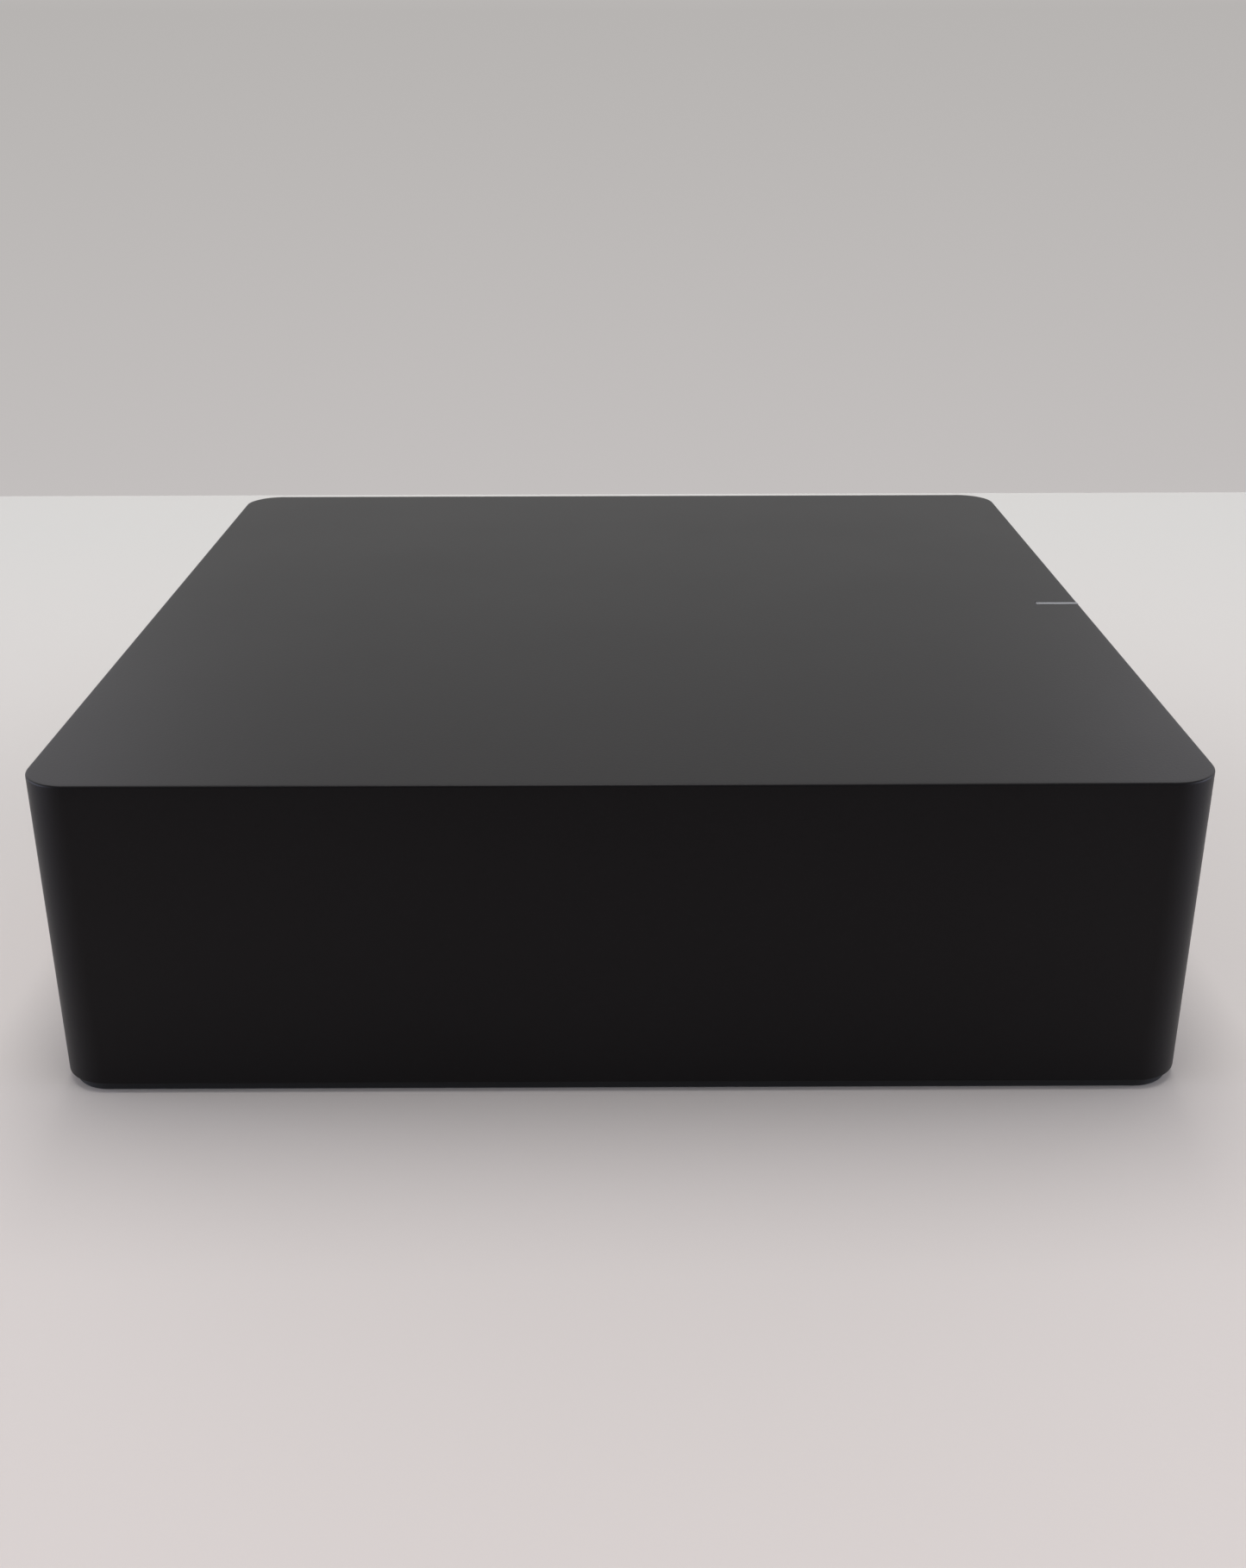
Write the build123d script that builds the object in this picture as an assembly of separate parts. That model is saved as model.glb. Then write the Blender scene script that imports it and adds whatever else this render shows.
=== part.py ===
from build123d import *
import os

# Streaming media player: a low square box that takes music from the home network and hands it on
# by phono jacks. All sizes are in millimetres. +Z is up, the front is at -Y and the connectors are
# at +Y. The origin is the middle of the foot's underside.

# ---------------------------------------------------------------------------- driving sizes

# Outside
width = 138.0
depth = 138.0
height = 41.0
corner_radius = 5.8
edge_round = 0.3

# Top shell
wall = 2.4
roof = 2.6
rear_lip = 3.6  # roof over the rear recess
rear_return = 6.5  # shell beside the rear recess
boss_radius = 4.0
boss_inset = 6.6  # middle of a screw boss to the inner wall
rear_boss_setback = 19.5  # middle of a rear boss to the back of the rear panel

# Foot and base cover
foot_inset = 0.8
foot_thickness = 1.15
groove_depth = 0.35
groove_width = 1.0
groove_inset = 5.0
shadow_gap = 0.2  # foot to the shell's lower edge
base_thickness = 2.0
base_gap = 0.25  # base cover to the shell
rim_height = 3.0
rim_thickness = 1.4
seat_radius = 4.6
seat_height = 2.85  # boss seat above the base's floor
seat_web = 2.0  # what a case screw's head pulls on
stop_width = 3.0
stop_height = 9.0

# Rear panel
setback = 9.5  # panel face to the rear edge of the shell
panel_thickness = 2.0
panel_gap = 0.2
cutout_gap = 0.2  # jack to the panel's opening

# Boards
standoff = 4.85  # base floor to a board's underside
board_thickness = 1.6
board_margin = 4.1  # board edge to the inner side wall
board_front_margin = 2.1
board_rear_gap = 1.0
board_split = 35.25  # where the insulating sheet stands between the boards
split_gap = 0.75
post_radius = 2.8
notch_gap = 0.6
power_front_screws = [(56.0, -49.0), (39.5, -10.0)]
power_rear_screws = [(58.5, 33.5), (39.5, 24.5)]  # X, distance to the panel's back
rest_x = (-28.5, 17.5)  # plain posts under the connectors
rest_setback = 8.0

# Screws
thread_gap = 0.02
shaft_gap = 0.2
case_shaft_radius = 1.5
case_head_radius = 2.75
case_head_height = 2.0
case_screw_length = 9.0
pilot_spare = 1.0  # pilot hole past the screw's end
board_shaft_radius = 1.2
board_head_radius = 2.2
board_head_height = 1.4
board_screw_length = 5.6
drive_depth = 0.7
drive_width = 0.6
drive_length = 2.4

# Mains inlet, figure-8
inlet_x = 49.5
inlet_half_width = 10.7
inlet_height = 14.0
inlet_depth = 13.5
flange_half_width = 12.5
flange_height = 15.4
flange_thickness = 1.5
flange_round = 2.0
lobe_radius = 4.3
pin_pitch = 8.6
waist_height = 5.6
hollow_depth = 11.0
pin_radius = 1.18
pin_tip_setback = 1.5
pin_tail = 2.0
pin_gap = 0.02

# Network sockets
network_x = (26.0, 9.0)
network_width = 16.2
network_height = 13.4
network_depth = 16.0
network_proud = 0.5
shield_wall = 0.25
insert_gap = 0.05
socket_width = 11.9
socket_height = 7.2
socket_depth = 12.0
socket_above_board = 3.3
latch_width = 6.2
latch_height = 2.3
contact_count = 8
contact_pitch = 1.02
contact_thickness = 0.35
contact_drop = 2.3
contact_run = 9.2
contact_tip = 1.8  # rear of the hollow to the contact's free tip
contact_bend = 1.6

# Phono jacks
digital_x = -7.5
line_out_x = -21.5
line_in_x = -35.5
jack_half_width = 5.4
jack_height = 5.4  # board to the lower jack's axis
jack_pitch = 15.0
housing_depth = 11.5
pocket_depth = 4.0
barrel_radius = 4.15
barrel_bore = 3.6
barrel_length = 8.8
collar_radius = 4.9
insulator_gap = 0.05
insulator_step = 0.3
jack_hole_radius = 1.6
jack_hole_depth = 10.0
contact_wall = 0.25
contact_setback = 2.0

# Trigger jack
trigger_x = -47.5
trigger_half_width = 4.5
trigger_depth = 12.0
bushing_radius = 3.0
bushing_bore = 1.8
bushing_proud = 2.0
bushing_length = 11.5
tip_hole_radius = 1.5
tip_hole_depth = 3.0

# Pairing button and its switch
button_x = -57.0
button_radius = 3.0
button_gap = 0.15
button_proud = 1.0
button_travel = 0.5
button_dish = 0.25
collar_reach = 0.8
collar_thickness = 1.2
collar_gap = 0.1
stem_radius = 1.5
stem_end = 5.0  # panel's back to the stem's end
plunger_radius = 1.7
plunger_gap = 0.12
plunger_length = 2.5
plunger_out = 2.0
plunger_spare = 0.2  # pocket past the end of the pressed plunger
switch_half_width = 3.1
switch_depth = 4.0
switch_rise = 4.7

# Light pipe and its LED
light_length = 6.3
light_width = 1.0
light_thickness = 1.5
light_gap = 0.05
stem_width = 1.4
stem_depth = 2.4
shoulder_reach = 1.0
shoulder_height = 1.0
led_length = 1.6
led_width = 0.8
led_height = 0.6
led_gap = 0.4

# Heat spreader over the main board
spreader_half = 32.0
spreader_x = -14.0
spreader_y = -13.0
spreader_thickness = 1.5
spreader_rise = 3.6
foot_reach = 8.0

# Processor, shield can, thermal pad, other chips
can_width = 30.0
can_depth = 26.0
can_height = 2.6
can_wall = 0.25
processor_side = 14.0
processor_height = 1.4
processor_offset = -5.0
pad_side = 20.0
memory_offset = 8.0
chip_rise = 1.0
regulator_rise = 2.4
memory_chip = (8.0, 12.0)  # width, depth
flash_chip = (-14.0, 12.0, 8.0, 6.0, chip_rise)  # X, Y, width, depth, height
regulators = [(25.0, -20.0, 6.0, 6.0, regulator_rise), (25.0, 2.0, 6.0, 6.0, regulator_rise)]
network_chip = (12.0, 24.5, 10.0, 10.0, chip_rise)  # X, distance to the panel's back, width, depth, height
output_chip = (-22.0, 26.5, 7.0, 7.0, chip_rise)
input_chip = (-36.0, 26.5, 7.0, 7.0, chip_rise)

# Power supply pieces
fuse_x = 42.5
fuse_setback = 17.5
fuse_radius = 4.2
fuse_height = 8.0
filter_x = (49.5, 55.0)
filter_depth = 14.0
filter_height = 12.0
choke_x = 45.0
choke_setback = 33.0  # its middle to the panel's back
rectifier_x = (40.0, 55.0)
rectifier_y = (12.0, 15.8)
rectifier_height = 11.0
capacitor_spot = (46.0, 2.5)
capacitor_radius = 8.0
capacitor_height = 24.0
capacitor_round = 0.8
output_spots = [(44.0, -42.0), (53.0, -42.0)]
output_radius = 4.0
output_height = 16.0
signal_first_x = -42.0
signal_pitch = 7.0
signal_count = 6
signal_setback = 19.5
signal_radius = 2.5
signal_height = 6.0
choke_ring = 4.4
choke_wire = 2.2
core_width = 20.0
core_depth = 22.0
core_height = 18.0
core_yoke = 4.5
winding_gap = 0.3
winding_bulge = 1.5
transformer_x = 49.0
transformer_y = -24.0
sink_margin = 0.8  # heat sink to the board's edge
sink_thickness = 1.5
sink_length = 24.0
sink_height = 20.0
transistor_thickness = 4.5
transistor_width = 10.0
transistor_height = 15.0
transistor_rise = 2.4

# Antennas and leads
antenna_length = 34.0
antenna_height = 10.0
antenna_thickness = 0.8
antenna_level = 25.0
left_antenna_y = -18.0
front_antenna_x = -23.0
lead_radius = 0.57
lead_bend = 4.0
lead_reach = 8.5
plug_radius = 1.3
plug_height = 1.2

# Power harness
wire_count = 4
wire_pitch = 2.0
wire_radius = 0.6
wire_rise = 5.4
wire_bend = 2.5
harness_plug_width = 4.0
harness_plug_height = 6.0
harness_y = -52.0
harness_x = (29.5, 39.0)

# Insulating sheet
sheet_thickness = 0.3
sheet_height = 15.0
sheet_rear_setback = 12.5
sheet_front_margin = 6.0
sheet_hole_gap = 0.4

# ---------------------------------------------------------------------------- levels and lines

inner_x = width / 2 - wall
inner_y = depth / 2 - wall
ceiling = height - roof
base_bottom = foot_thickness
shell_bottom = foot_thickness + shadow_gap
floor = base_bottom + base_thickness
seat_top = floor + seat_height
board_bottom = floor + standoff
board_top = board_bottom + board_thickness
panel_face = depth / 2 - setback
panel_back = panel_face - panel_thickness
recess_half = width / 2 - rear_return
recess_top = height - rear_lip
jack_level = board_top + jack_height
inlet_level = board_top + inlet_height / 2

boss_x = inner_x - boss_inset
boss_spots = [
    (-boss_x, -(inner_y - boss_inset)),
    (boss_x, -(inner_y - boss_inset)),
    (-boss_x, panel_back - rear_boss_setback),
    (boss_x, panel_back - rear_boss_setback),
]

spreader_foot = spreader_half + foot_reach / 2
spreader_spots = [
    (spreader_x + sx * spreader_foot, spreader_y + sy * spreader_foot)
    for sx in (-1, 1)
    for sy in (-1, 1)
]
power_spots = power_front_screws + [(x, panel_back - back) for x, back in power_rear_screws]
rest_spots = [(x, panel_back - rest_setback) for x in rest_x]

board_left = -(inner_x - board_margin)
board_right = inner_x - board_margin
board_front = -(inner_y - board_front_margin)
board_rear = panel_back - board_rear_gap
main_board_right = board_split - split_gap
power_board_left = board_split + split_gap


# ---------------------------------------------------------------------------- small makers


def block(x0, x1, y0, y1, z0, z1):
    """A box between two opposite corners."""
    return Pos((x0 + x1) / 2, (y0 + y1) / 2, (z0 + z1) / 2) * Box(x1 - x0, y1 - y0, z1 - z0)


def post(x, y, z0, z1, radius):
    """An upright cylinder."""
    return Pos(x, y, (z0 + z1) / 2) * Cylinder(radius, z1 - z0)


def rod(x, z, y0, y1, radius):
    """A cylinder that runs front to back."""
    return Pos(x, (y0 + y1) / 2, z) * Rot(90, 0, 0) * Cylinder(radius, y1 - y0)


def slab(slab_width, slab_depth, radius, z0, z1):
    """A flat plate with rounded corners."""
    return extrude(Pos(0, 0, z0) * RectangleRounded(slab_width, slab_depth, radius), z1 - z0)


def prism_y(outline, y0, y1):
    """An outline drawn in X and Z, carried from y0 to y1."""
    start = Plane(origin=(0, y1, 0), x_dir=(1, 0, 0), z_dir=(0, -1, 0))
    return extrude(start * outline, y1 - y0)


def prism_x(outline, x0, x1):
    """An outline drawn in Y and Z, carried from x0 to x1."""
    start = Plane(origin=(x0, 0, 0), x_dir=(0, 1, 0), z_dir=(1, 0, 0))
    return extrude(start * outline, x1 - x0)


def wire(points, radius, bend):
    """A round wire along straight runs with rounded corners."""
    path = FilletPolyline(*points, radius=bend)
    start = Plane(origin=path @ 0, z_dir=path % 0)
    return sweep(start * Circle(radius), path=path)


def save(name, *pieces):
    """Write one node: a single solid, or a group of separate solids."""
    solids = [solid for piece in pieces for solid in piece.solids()]
    shape = solids[0] if len(solids) == 1 else Compound(solids)
    export_step(shape, f"parts/{name}.step")


# ---------------------------------------------------------------------------- casing


def light_slot(gap):
    """The space of the light pipe in the roof, grown by a gap at its sides."""
    half = light_width / 2 + gap
    front = -depth / 2
    back = front + light_length + gap
    bar = block(-half, half, front - gap, back, height - light_thickness, height)
    half_stem = stem_width / 2 + gap
    stem_back = front + light_length
    stem_front = stem_back - stem_depth - gap
    stem = block(-half_stem, half_stem, stem_front, stem_back + gap, ceiling, height - light_thickness)
    return bar + stem


def top_shell():
    """Roof and walls in one moulding, open below and with a recess for the connectors behind."""
    outer = slab(width, depth, corner_radius, shell_bottom, height)
    outer = fillet(outer.faces().sort_by(Axis.Z)[-1].edges(), edge_round)
    cavity = slab(2 * inner_x, 2 * inner_y, corner_radius - wall, 0, ceiling)
    cavity &= block(-width, width, -depth, panel_face, 0, height)
    recess = block(-recess_half, recess_half, panel_face - 1, depth, 0, recess_top)
    shell = outer - cavity - recess
    for x, y in boss_spots:
        boss = post(x, y, seat_top, ceiling, boss_radius)
        top = seat_top - seat_web + case_screw_length + pilot_spare
        shell += boss - post(x, y, seat_top, top, case_shaft_radius + thread_gap)
    return shell - light_slot(light_gap)


def rear_panel():
    """The flat panel that the connectors come through."""
    half = inner_x - panel_gap
    panel = block(-half, half, panel_back, panel_face, floor, ceiling - panel_gap)
    through = (panel_back - 1, panel_face + 1)
    inlet_half = inlet_half_width + cutout_gap
    inlet_reach = inlet_height / 2 - cutout_gap
    panel -= block(
        inlet_x - inlet_half,
        inlet_x + inlet_half,
        *through,
        inlet_level - inlet_reach - 2 * cutout_gap,
        inlet_level + inlet_reach + 2 * cutout_gap,
    )
    for x in network_x:
        half_jack = network_width / 2 + cutout_gap
        top = board_top + network_height + cutout_gap
        panel -= block(x - half_jack, x + half_jack, *through, board_top - cutout_gap, top)
    for x, z in jack_spots().values():
        panel -= rod(x, z, *through, collar_radius + cutout_gap)
    panel -= rod(trigger_x, jack_level, *through, bushing_radius + cutout_gap)
    panel -= rod(button_x, jack_level, *through, button_radius + button_gap)
    for x, z in panel_screw_spots():
        panel -= rod(x, z, *through, board_shaft_radius + shaft_gap)
    return panel


def base_cover():
    """The floor of the case, with a rim, boss seats, board posts and panel stops."""
    inset = wall + base_gap
    plan = (width - 2 * inset, depth - 2 * inset)
    radius = corner_radius - inset
    plate = slab(*plan, radius, base_bottom, floor)
    plate &= block(-width, width, -depth, panel_face - base_gap, 0, height)
    tongue_half = recess_half - base_gap
    plate += block(-tongue_half, tongue_half, 0, depth / 2 - base_gap, base_bottom, floor)
    inner_radius = max(radius - rim_thickness, 0.5)
    rim = slab(*plan, radius, floor, floor + rim_height)
    rim -= slab(plan[0] - 2 * rim_thickness, plan[1] - 2 * rim_thickness, inner_radius, 0, height)
    rim &= block(-width, width, -depth, panel_back - 2 * base_gap, 0, height)
    cover = plate + rim
    for side in (-1, 1):
        edge = side * (inner_x - base_gap)
        inner = edge - side * stop_width
        low, high = min(edge, inner), max(edge, inner)
        cover += block(low, high, panel_back - stop_width, panel_back, floor, floor + stop_height)
    for x, y in boss_spots:
        cover += post(x, y, floor, seat_top, seat_radius)
    for x, y in boss_spots:
        cover -= post(x, y, base_bottom, seat_top - seat_web, case_head_radius + shaft_gap)
        cover -= post(x, y, base_bottom, seat_top, case_shaft_radius + shaft_gap)
    for x, y in spreader_spots + power_spots:
        pilot = post(x, y, floor, board_bottom, board_shaft_radius + thread_gap)
        cover += post(x, y, floor, board_bottom, post_radius) - pilot
    for x, y in rest_spots:
        cover += post(x, y, floor, board_bottom, post_radius)
    return cover


def foot_pad():
    """A rubber pad over the whole underside, with one shallow groove round it."""
    plan = (width - 2 * foot_inset, depth - 2 * foot_inset)
    radius = corner_radius - foot_inset
    pad = slab(*plan, radius, 0, foot_thickness)
    lines = []
    for inset in (groove_inset, groove_inset + groove_width):
        sides = (plan[0] - 2 * inset, plan[1] - 2 * inset)
        lines.append(slab(*sides, max(radius - inset, 1.0), -1, groove_depth))
    return pad - (lines[0] - lines[1])


def light_pipe():
    """The clear bar of the status light, with the stem that brings it light from the board."""
    bar = light_slot(0)
    stem_back = -depth / 2 + light_length
    half = stem_width / 2
    low = board_top + led_height + led_gap
    stem = block(-half, half, stem_back - stem_depth, stem_back, low, ceiling)
    shoulder = block(
        -half - shoulder_reach,
        half + shoulder_reach,
        stem_back - stem_depth,
        stem_back + shoulder_reach,
        ceiling - shoulder_height,
        ceiling,
    )
    return bar + stem + shoulder


def status_led():
    """The LED under the light pipe's stem."""
    y = -depth / 2 + light_length - stem_depth / 2
    half = led_length / 2
    return block(-half, half, y - led_width / 2, y + led_width / 2, board_top, board_top + led_height)


def pan_screw(shaft_radius, head_radius, head_height, length):
    """A cross-drive screw pointing down, with the underside of its head at the origin."""
    screw = Pos(0, 0, -length / 2) * Cylinder(shaft_radius, length)
    head = Pos(0, 0, head_height / 2) * Cylinder(head_radius, head_height)
    head = fillet(head.edges().filter_by(GeomType.CIRCLE).sort_by(Axis.Z)[-1], head_height / 3)
    screw += head
    for turn in (0, 90):
        drive = Box(drive_length, drive_width, 2 * drive_depth)
        screw -= Pos(0, 0, head_height) * Rot(0, 0, turn) * drive
    return screw


def case_screws():
    """Four screws that come up through the base into the shell's bosses."""
    screw = pan_screw(case_shaft_radius, case_head_radius, case_head_height, case_screw_length)
    return [Pos(x, y, seat_top - seat_web) * Rot(180, 0, 0) * screw for x, y in boss_spots]


def board_screws():
    """Screws down through the boards: four through the heat spreader's feet, four on the power board."""
    screw = pan_screw(board_shaft_radius, board_head_radius, board_head_height, board_screw_length)
    on_feet = [Pos(x, y, board_top + spreader_thickness) * screw for x, y in spreader_spots]
    on_board = [Pos(x, y, board_top) * screw for x, y in power_spots]
    return on_feet + on_board


def panel_screw_spots():
    """Where the panel is screwed to the two stacked phono housings."""
    return [(x, jack_level + jack_pitch / 2) for x in (line_out_x, line_in_x)]


def panel_screws():
    """Screws from behind through the panel into the phono housings."""
    screw = pan_screw(board_shaft_radius, board_head_radius, board_head_height, board_screw_length)
    return [Pos(x, panel_face, z) * Rot(-90, 0, 0) * screw for x, z in panel_screw_spots()]


# ---------------------------------------------------------------------------- boards


def board(x0, x1, spots, front, rear):
    """A circuit board with screw holes, cut back from the shell's bosses."""
    plate = block(x0, x1, front, rear, board_bottom, board_top)
    reach = boss_radius + notch_gap
    out = board_margin + boss_inset
    for x, y in boss_spots:
        plate -= post(x, y, 0, height, reach)
        if x > x1 - out:
            plate -= block(x, x + 2 * out, y - reach, y + reach, 0, height)
        if x < x0 + out:
            plate -= block(x - 2 * out, x, y - reach, y + reach, 0, height)
    for x, y in spots:
        plate -= post(x, y, 0, height, board_shaft_radius + shaft_gap)
    return plate


def main_board():
    return board(board_left, main_board_right, spreader_spots, board_front, board_rear)


def power_board():
    return board(power_board_left, board_right, power_spots, board_front, board_rear)


def insulating_sheet():
    """A folded plastic sheet: flat under the power board, with a wall between the two boards."""
    front = -(inner_y - sheet_front_margin)
    rear = panel_back - sheet_rear_setback
    flat = block(board_split, board_right, front, rear, floor, floor + sheet_thickness)
    upright = block(board_split, board_split + sheet_thickness, front, rear, floor, floor + sheet_height)
    sheet = flat + upright
    reach = seat_radius + sheet_hole_gap
    for x, y in boss_spots[1::2]:
        sheet -= post(x, y, 0, height, reach)
        sheet -= block(x, x + boss_inset + board_margin, y - reach, y + reach, 0, height)
    for x, y in power_spots:
        sheet -= post(x, y, 0, height, post_radius + sheet_hole_gap)
    return sheet


def heat_spreader():
    """An aluminium plate over the processor, stepped down to the board at its four corners."""
    low = board_top + spreader_rise
    high = low + spreader_thickness
    x0, x1 = spreader_x - spreader_half, spreader_x + spreader_half
    y0, y1 = spreader_y - spreader_half, spreader_y + spreader_half
    plate = block(x0, x1, y0, y1, low, high)
    for sx in (-1, 1):
        for sy in (-1, 1):
            edge_x = spreader_x + sx * spreader_half
            edge_y = spreader_y + sy * spreader_half
            far_x = edge_x + sx * foot_reach
            far_y = edge_y + sy * foot_reach
            web_x = edge_x + sx * spreader_thickness
            xs = sorted((edge_x, far_x))
            ys = sorted((edge_y, far_y))
            plate += block(*xs, *ys, board_top, board_top + spreader_thickness)
            strap_x = sorted((edge_x - sx * foot_reach, web_x))
            strap_y = sorted((edge_y - sy * foot_reach, far_y))
            plate += block(*strap_x, *strap_y, low, high)
            plate += block(*sorted((edge_x, web_x)), *ys, board_top, high)
    for x, y in spreader_spots:
        plate -= post(x, y, 0, height, board_shaft_radius + shaft_gap)
    return plate


def processor_shield():
    """A thin can over the processor and its memory."""
    x0, x1 = spreader_x - can_width / 2, spreader_x + can_width / 2
    y0, y1 = spreader_y - can_depth / 2, spreader_y + can_depth / 2
    can = block(x0, x1, y0, y1, board_top, board_top + can_height)
    under = board_top + can_height - can_wall
    return can - block(x0 + can_wall, x1 - can_wall, y0 + can_wall, y1 - can_wall, 0, under)


def processor_chip():
    half = processor_side / 2
    x, y = spreader_x + processor_offset, spreader_y
    return block(x - half, x + half, y - half, y + half, board_top, board_top + processor_height)


def thermal_pad():
    half = pad_side / 2
    low, high = board_top + can_height, board_top + spreader_rise
    return block(spreader_x - half, spreader_x + half, spreader_y - half, spreader_y + half, low, high)


def board_chips():
    """Memory under the can, and the flash, network and sound converter chips round it."""
    places = [(spreader_x + memory_offset, spreader_y, *memory_chip, chip_rise), flash_chip, *regulators]
    for x, back, *sizes in (network_chip, output_chip, input_chip):
        places.append((x, panel_back - back, *sizes))
    chips = []
    for x, y, chip_width, chip_depth, rise in places:
        half_x, half_y = chip_width / 2, chip_depth / 2
        chips.append(block(x - half_x, x + half_x, y - half_y, y + half_y, board_top, board_top + rise))
    return chips


def can_capacitor(x, y, radius, tall):
    """A can capacitor standing on a board, its top edge rounded."""
    body = post(x, y, board_top, board_top + tall, radius)
    rim = body.edges().filter_by(GeomType.CIRCLE).sort_by(Axis.Z)[-1]
    return fillet(rim, min(capacitor_round, radius / 3))


def signal_capacitors():
    """Six small coupling capacitors in front of the phono jacks."""
    row = panel_back - signal_setback
    places = [signal_first_x + signal_pitch * i for i in range(signal_count)]
    return [can_capacitor(x, row, signal_radius, signal_height) for x in places]


# ---------------------------------------------------------------------------- rear connectors


def figure_eight():
    """The outline of the mains inlet's hollow: two lobes joined by a waist."""
    lobes = [Pos(side * pin_pitch / 2, 0) * Circle(lobe_radius) for side in (-1, 1)]
    return lobes[0] + lobes[1] + Rectangle(pin_pitch, waist_height)


def power_inlet():
    """The moulded body of the mains inlet, with a flange against the panel's face."""
    face = panel_face + flange_thickness
    back = panel_face - inlet_depth
    sides = (inlet_x - inlet_half_width, inlet_x + inlet_half_width)
    body = block(*sides, back, panel_face, board_top, board_top + inlet_height)
    flange = RectangleRounded(2 * flange_half_width, flange_height, flange_round)
    body += prism_y(Pos(inlet_x, inlet_level) * flange, panel_face, face)
    hollow = Pos(inlet_x, inlet_level) * figure_eight()
    body -= prism_y(hollow, face - hollow_depth, face + 1)
    for side in (-1, 1):
        body -= rod(inlet_x + side * pin_pitch / 2, inlet_level, back - 1, face, pin_radius + pin_gap)
    return body


def inlet_pins():
    """Two round pins, each with a rounded tip."""
    tip = panel_face + flange_thickness - pin_tip_setback
    tail = panel_face - inlet_depth - pin_tail
    pins = []
    for side in (-1, 1):
        pin = rod(inlet_x + side * pin_pitch / 2, inlet_level, tail, tip, pin_radius)
        pins.append(fillet(pin.edges().filter_by(GeomType.CIRCLE).sort_by(Axis.Y)[-1], pin_radius / 2))
    return pins


network_front = panel_face + network_proud
network_back = network_front - network_depth
insert_front = network_front - insert_gap
insert_low = board_top + shield_wall + insert_gap
insert_high = board_top + network_height - shield_wall - insert_gap
socket_low = board_top + socket_above_board
socket_high = socket_low + socket_height
socket_back = insert_front - socket_depth


def network_shield(x):
    """The metal shell of one network socket, open at its mouth."""
    half = network_width / 2
    outer = block(x - half, x + half, network_back, network_front, board_top, board_top + network_height)
    inner = half - shield_wall
    low, high = board_top + shield_wall, board_top + network_height - shield_wall
    return outer - block(x - inner, x + inner, network_back + shield_wall, network_front + 1, low, high)


def network_insert(x):
    """The plastic inside of one network socket, with its hollow and the latch's slot."""
    half = network_width / 2 - shield_wall - insert_gap
    back = network_back + shield_wall + insert_gap
    body = block(x - half, x + half, back, insert_front, insert_low, insert_high)
    half_socket = socket_width / 2
    body -= block(x - half_socket, x + half_socket, socket_back, insert_front + 1, socket_low, socket_high)
    half_latch = latch_width / 2
    latch_low = socket_low - latch_height
    return body - block(x - half_latch, x + half_latch, socket_back, insert_front + 1, latch_low, socket_low)


def network_contacts():
    """Eight sprung contacts hanging from the ceiling of each socket."""
    top = socket_high
    under = top - contact_thickness
    rear = socket_back
    front = rear + contact_run
    back_tip = rear + contact_tip
    outline = Polygon(
        (rear, top),
        (front, top),
        (front, under - contact_thickness / 3),
        (back_tip, top - contact_drop),
        (back_tip, top - contact_drop + contact_thickness),
        (front - contact_bend, under),
        (rear, under),
        align=None,
    )
    wires = []
    for x in network_x:
        first = x - contact_pitch * (contact_count - 1) / 2 - contact_thickness / 2
        for i in range(contact_count):
            left = first + contact_pitch * i
            wires.append(prism_x(outline, left, left + contact_thickness))
    return wires


def jack_spots():
    """The axis of each phono jack: its X and its Z."""
    upper = jack_level + jack_pitch
    return {
        "digital_out": (digital_x, jack_level),
        "line_out_left": (line_out_x, upper),
        "line_out_right": (line_out_x, jack_level),
        "line_in_left": (line_in_x, upper),
        "line_in_right": (line_in_x, jack_level),
    }


pocket_back = panel_back - pocket_depth
barrel_end = panel_face + barrel_length


def jack_housing(x, levels, screwed):
    """The plastic block that holds one or two phono jacks against the panel."""
    back, top = panel_back - housing_depth, levels[-1] + jack_height
    body = block(x - jack_half_width, x + jack_half_width, back, panel_back, board_top, top)
    for z in levels:
        body -= rod(x, z, pocket_back, panel_back + 1, collar_radius)
    if screwed:
        deep = panel_face - board_screw_length - pilot_spare
        body -= rod(x, jack_level + jack_pitch / 2, deep, panel_back, board_shaft_radius + thread_gap)
    return body


def jack_barrel(x, z):
    """The metal outer contact: a plain tube with a wider collar in the panel."""
    barrel = rod(x, z, pocket_back, panel_face, collar_radius)
    barrel += rod(x, z, panel_face, barrel_end, barrel_radius)
    return barrel - rod(x, z, pocket_back - 1, barrel_end + 1, barrel_bore)


def jack_insulator(x, z):
    """The coloured insulator inside a barrel, with the hole for the plug's pin."""
    front = barrel_end - insulator_step
    core = rod(x, z, pocket_back, front, barrel_bore - insulator_gap)
    core = fillet(core.edges().filter_by(GeomType.CIRCLE).sort_by(Axis.Y)[-1], insulator_step)
    return core - rod(x, z, front - jack_hole_depth, front + 1, jack_hole_radius)


def phono_contacts():
    """The split tube that grips the plug's pin in each phono jack."""
    tubes = []
    for x, z in jack_spots().values():
        back = barrel_end - insulator_step - jack_hole_depth
        front = barrel_end - insulator_step - contact_setback
        tube = rod(x, z, back, front, jack_hole_radius - insulator_gap)
        tube -= rod(x, z, back + contact_wall, front + 1, jack_hole_radius - insulator_gap - contact_wall)
        half = contact_wall / 2
        tube -= block(x - half, x + half, back + contact_setback, front + 1, z, z + 2 * jack_hole_radius)
        tubes.append(tube)
    return tubes


bushing_front = panel_face + bushing_proud
bushing_back = bushing_front - bushing_length


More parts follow.
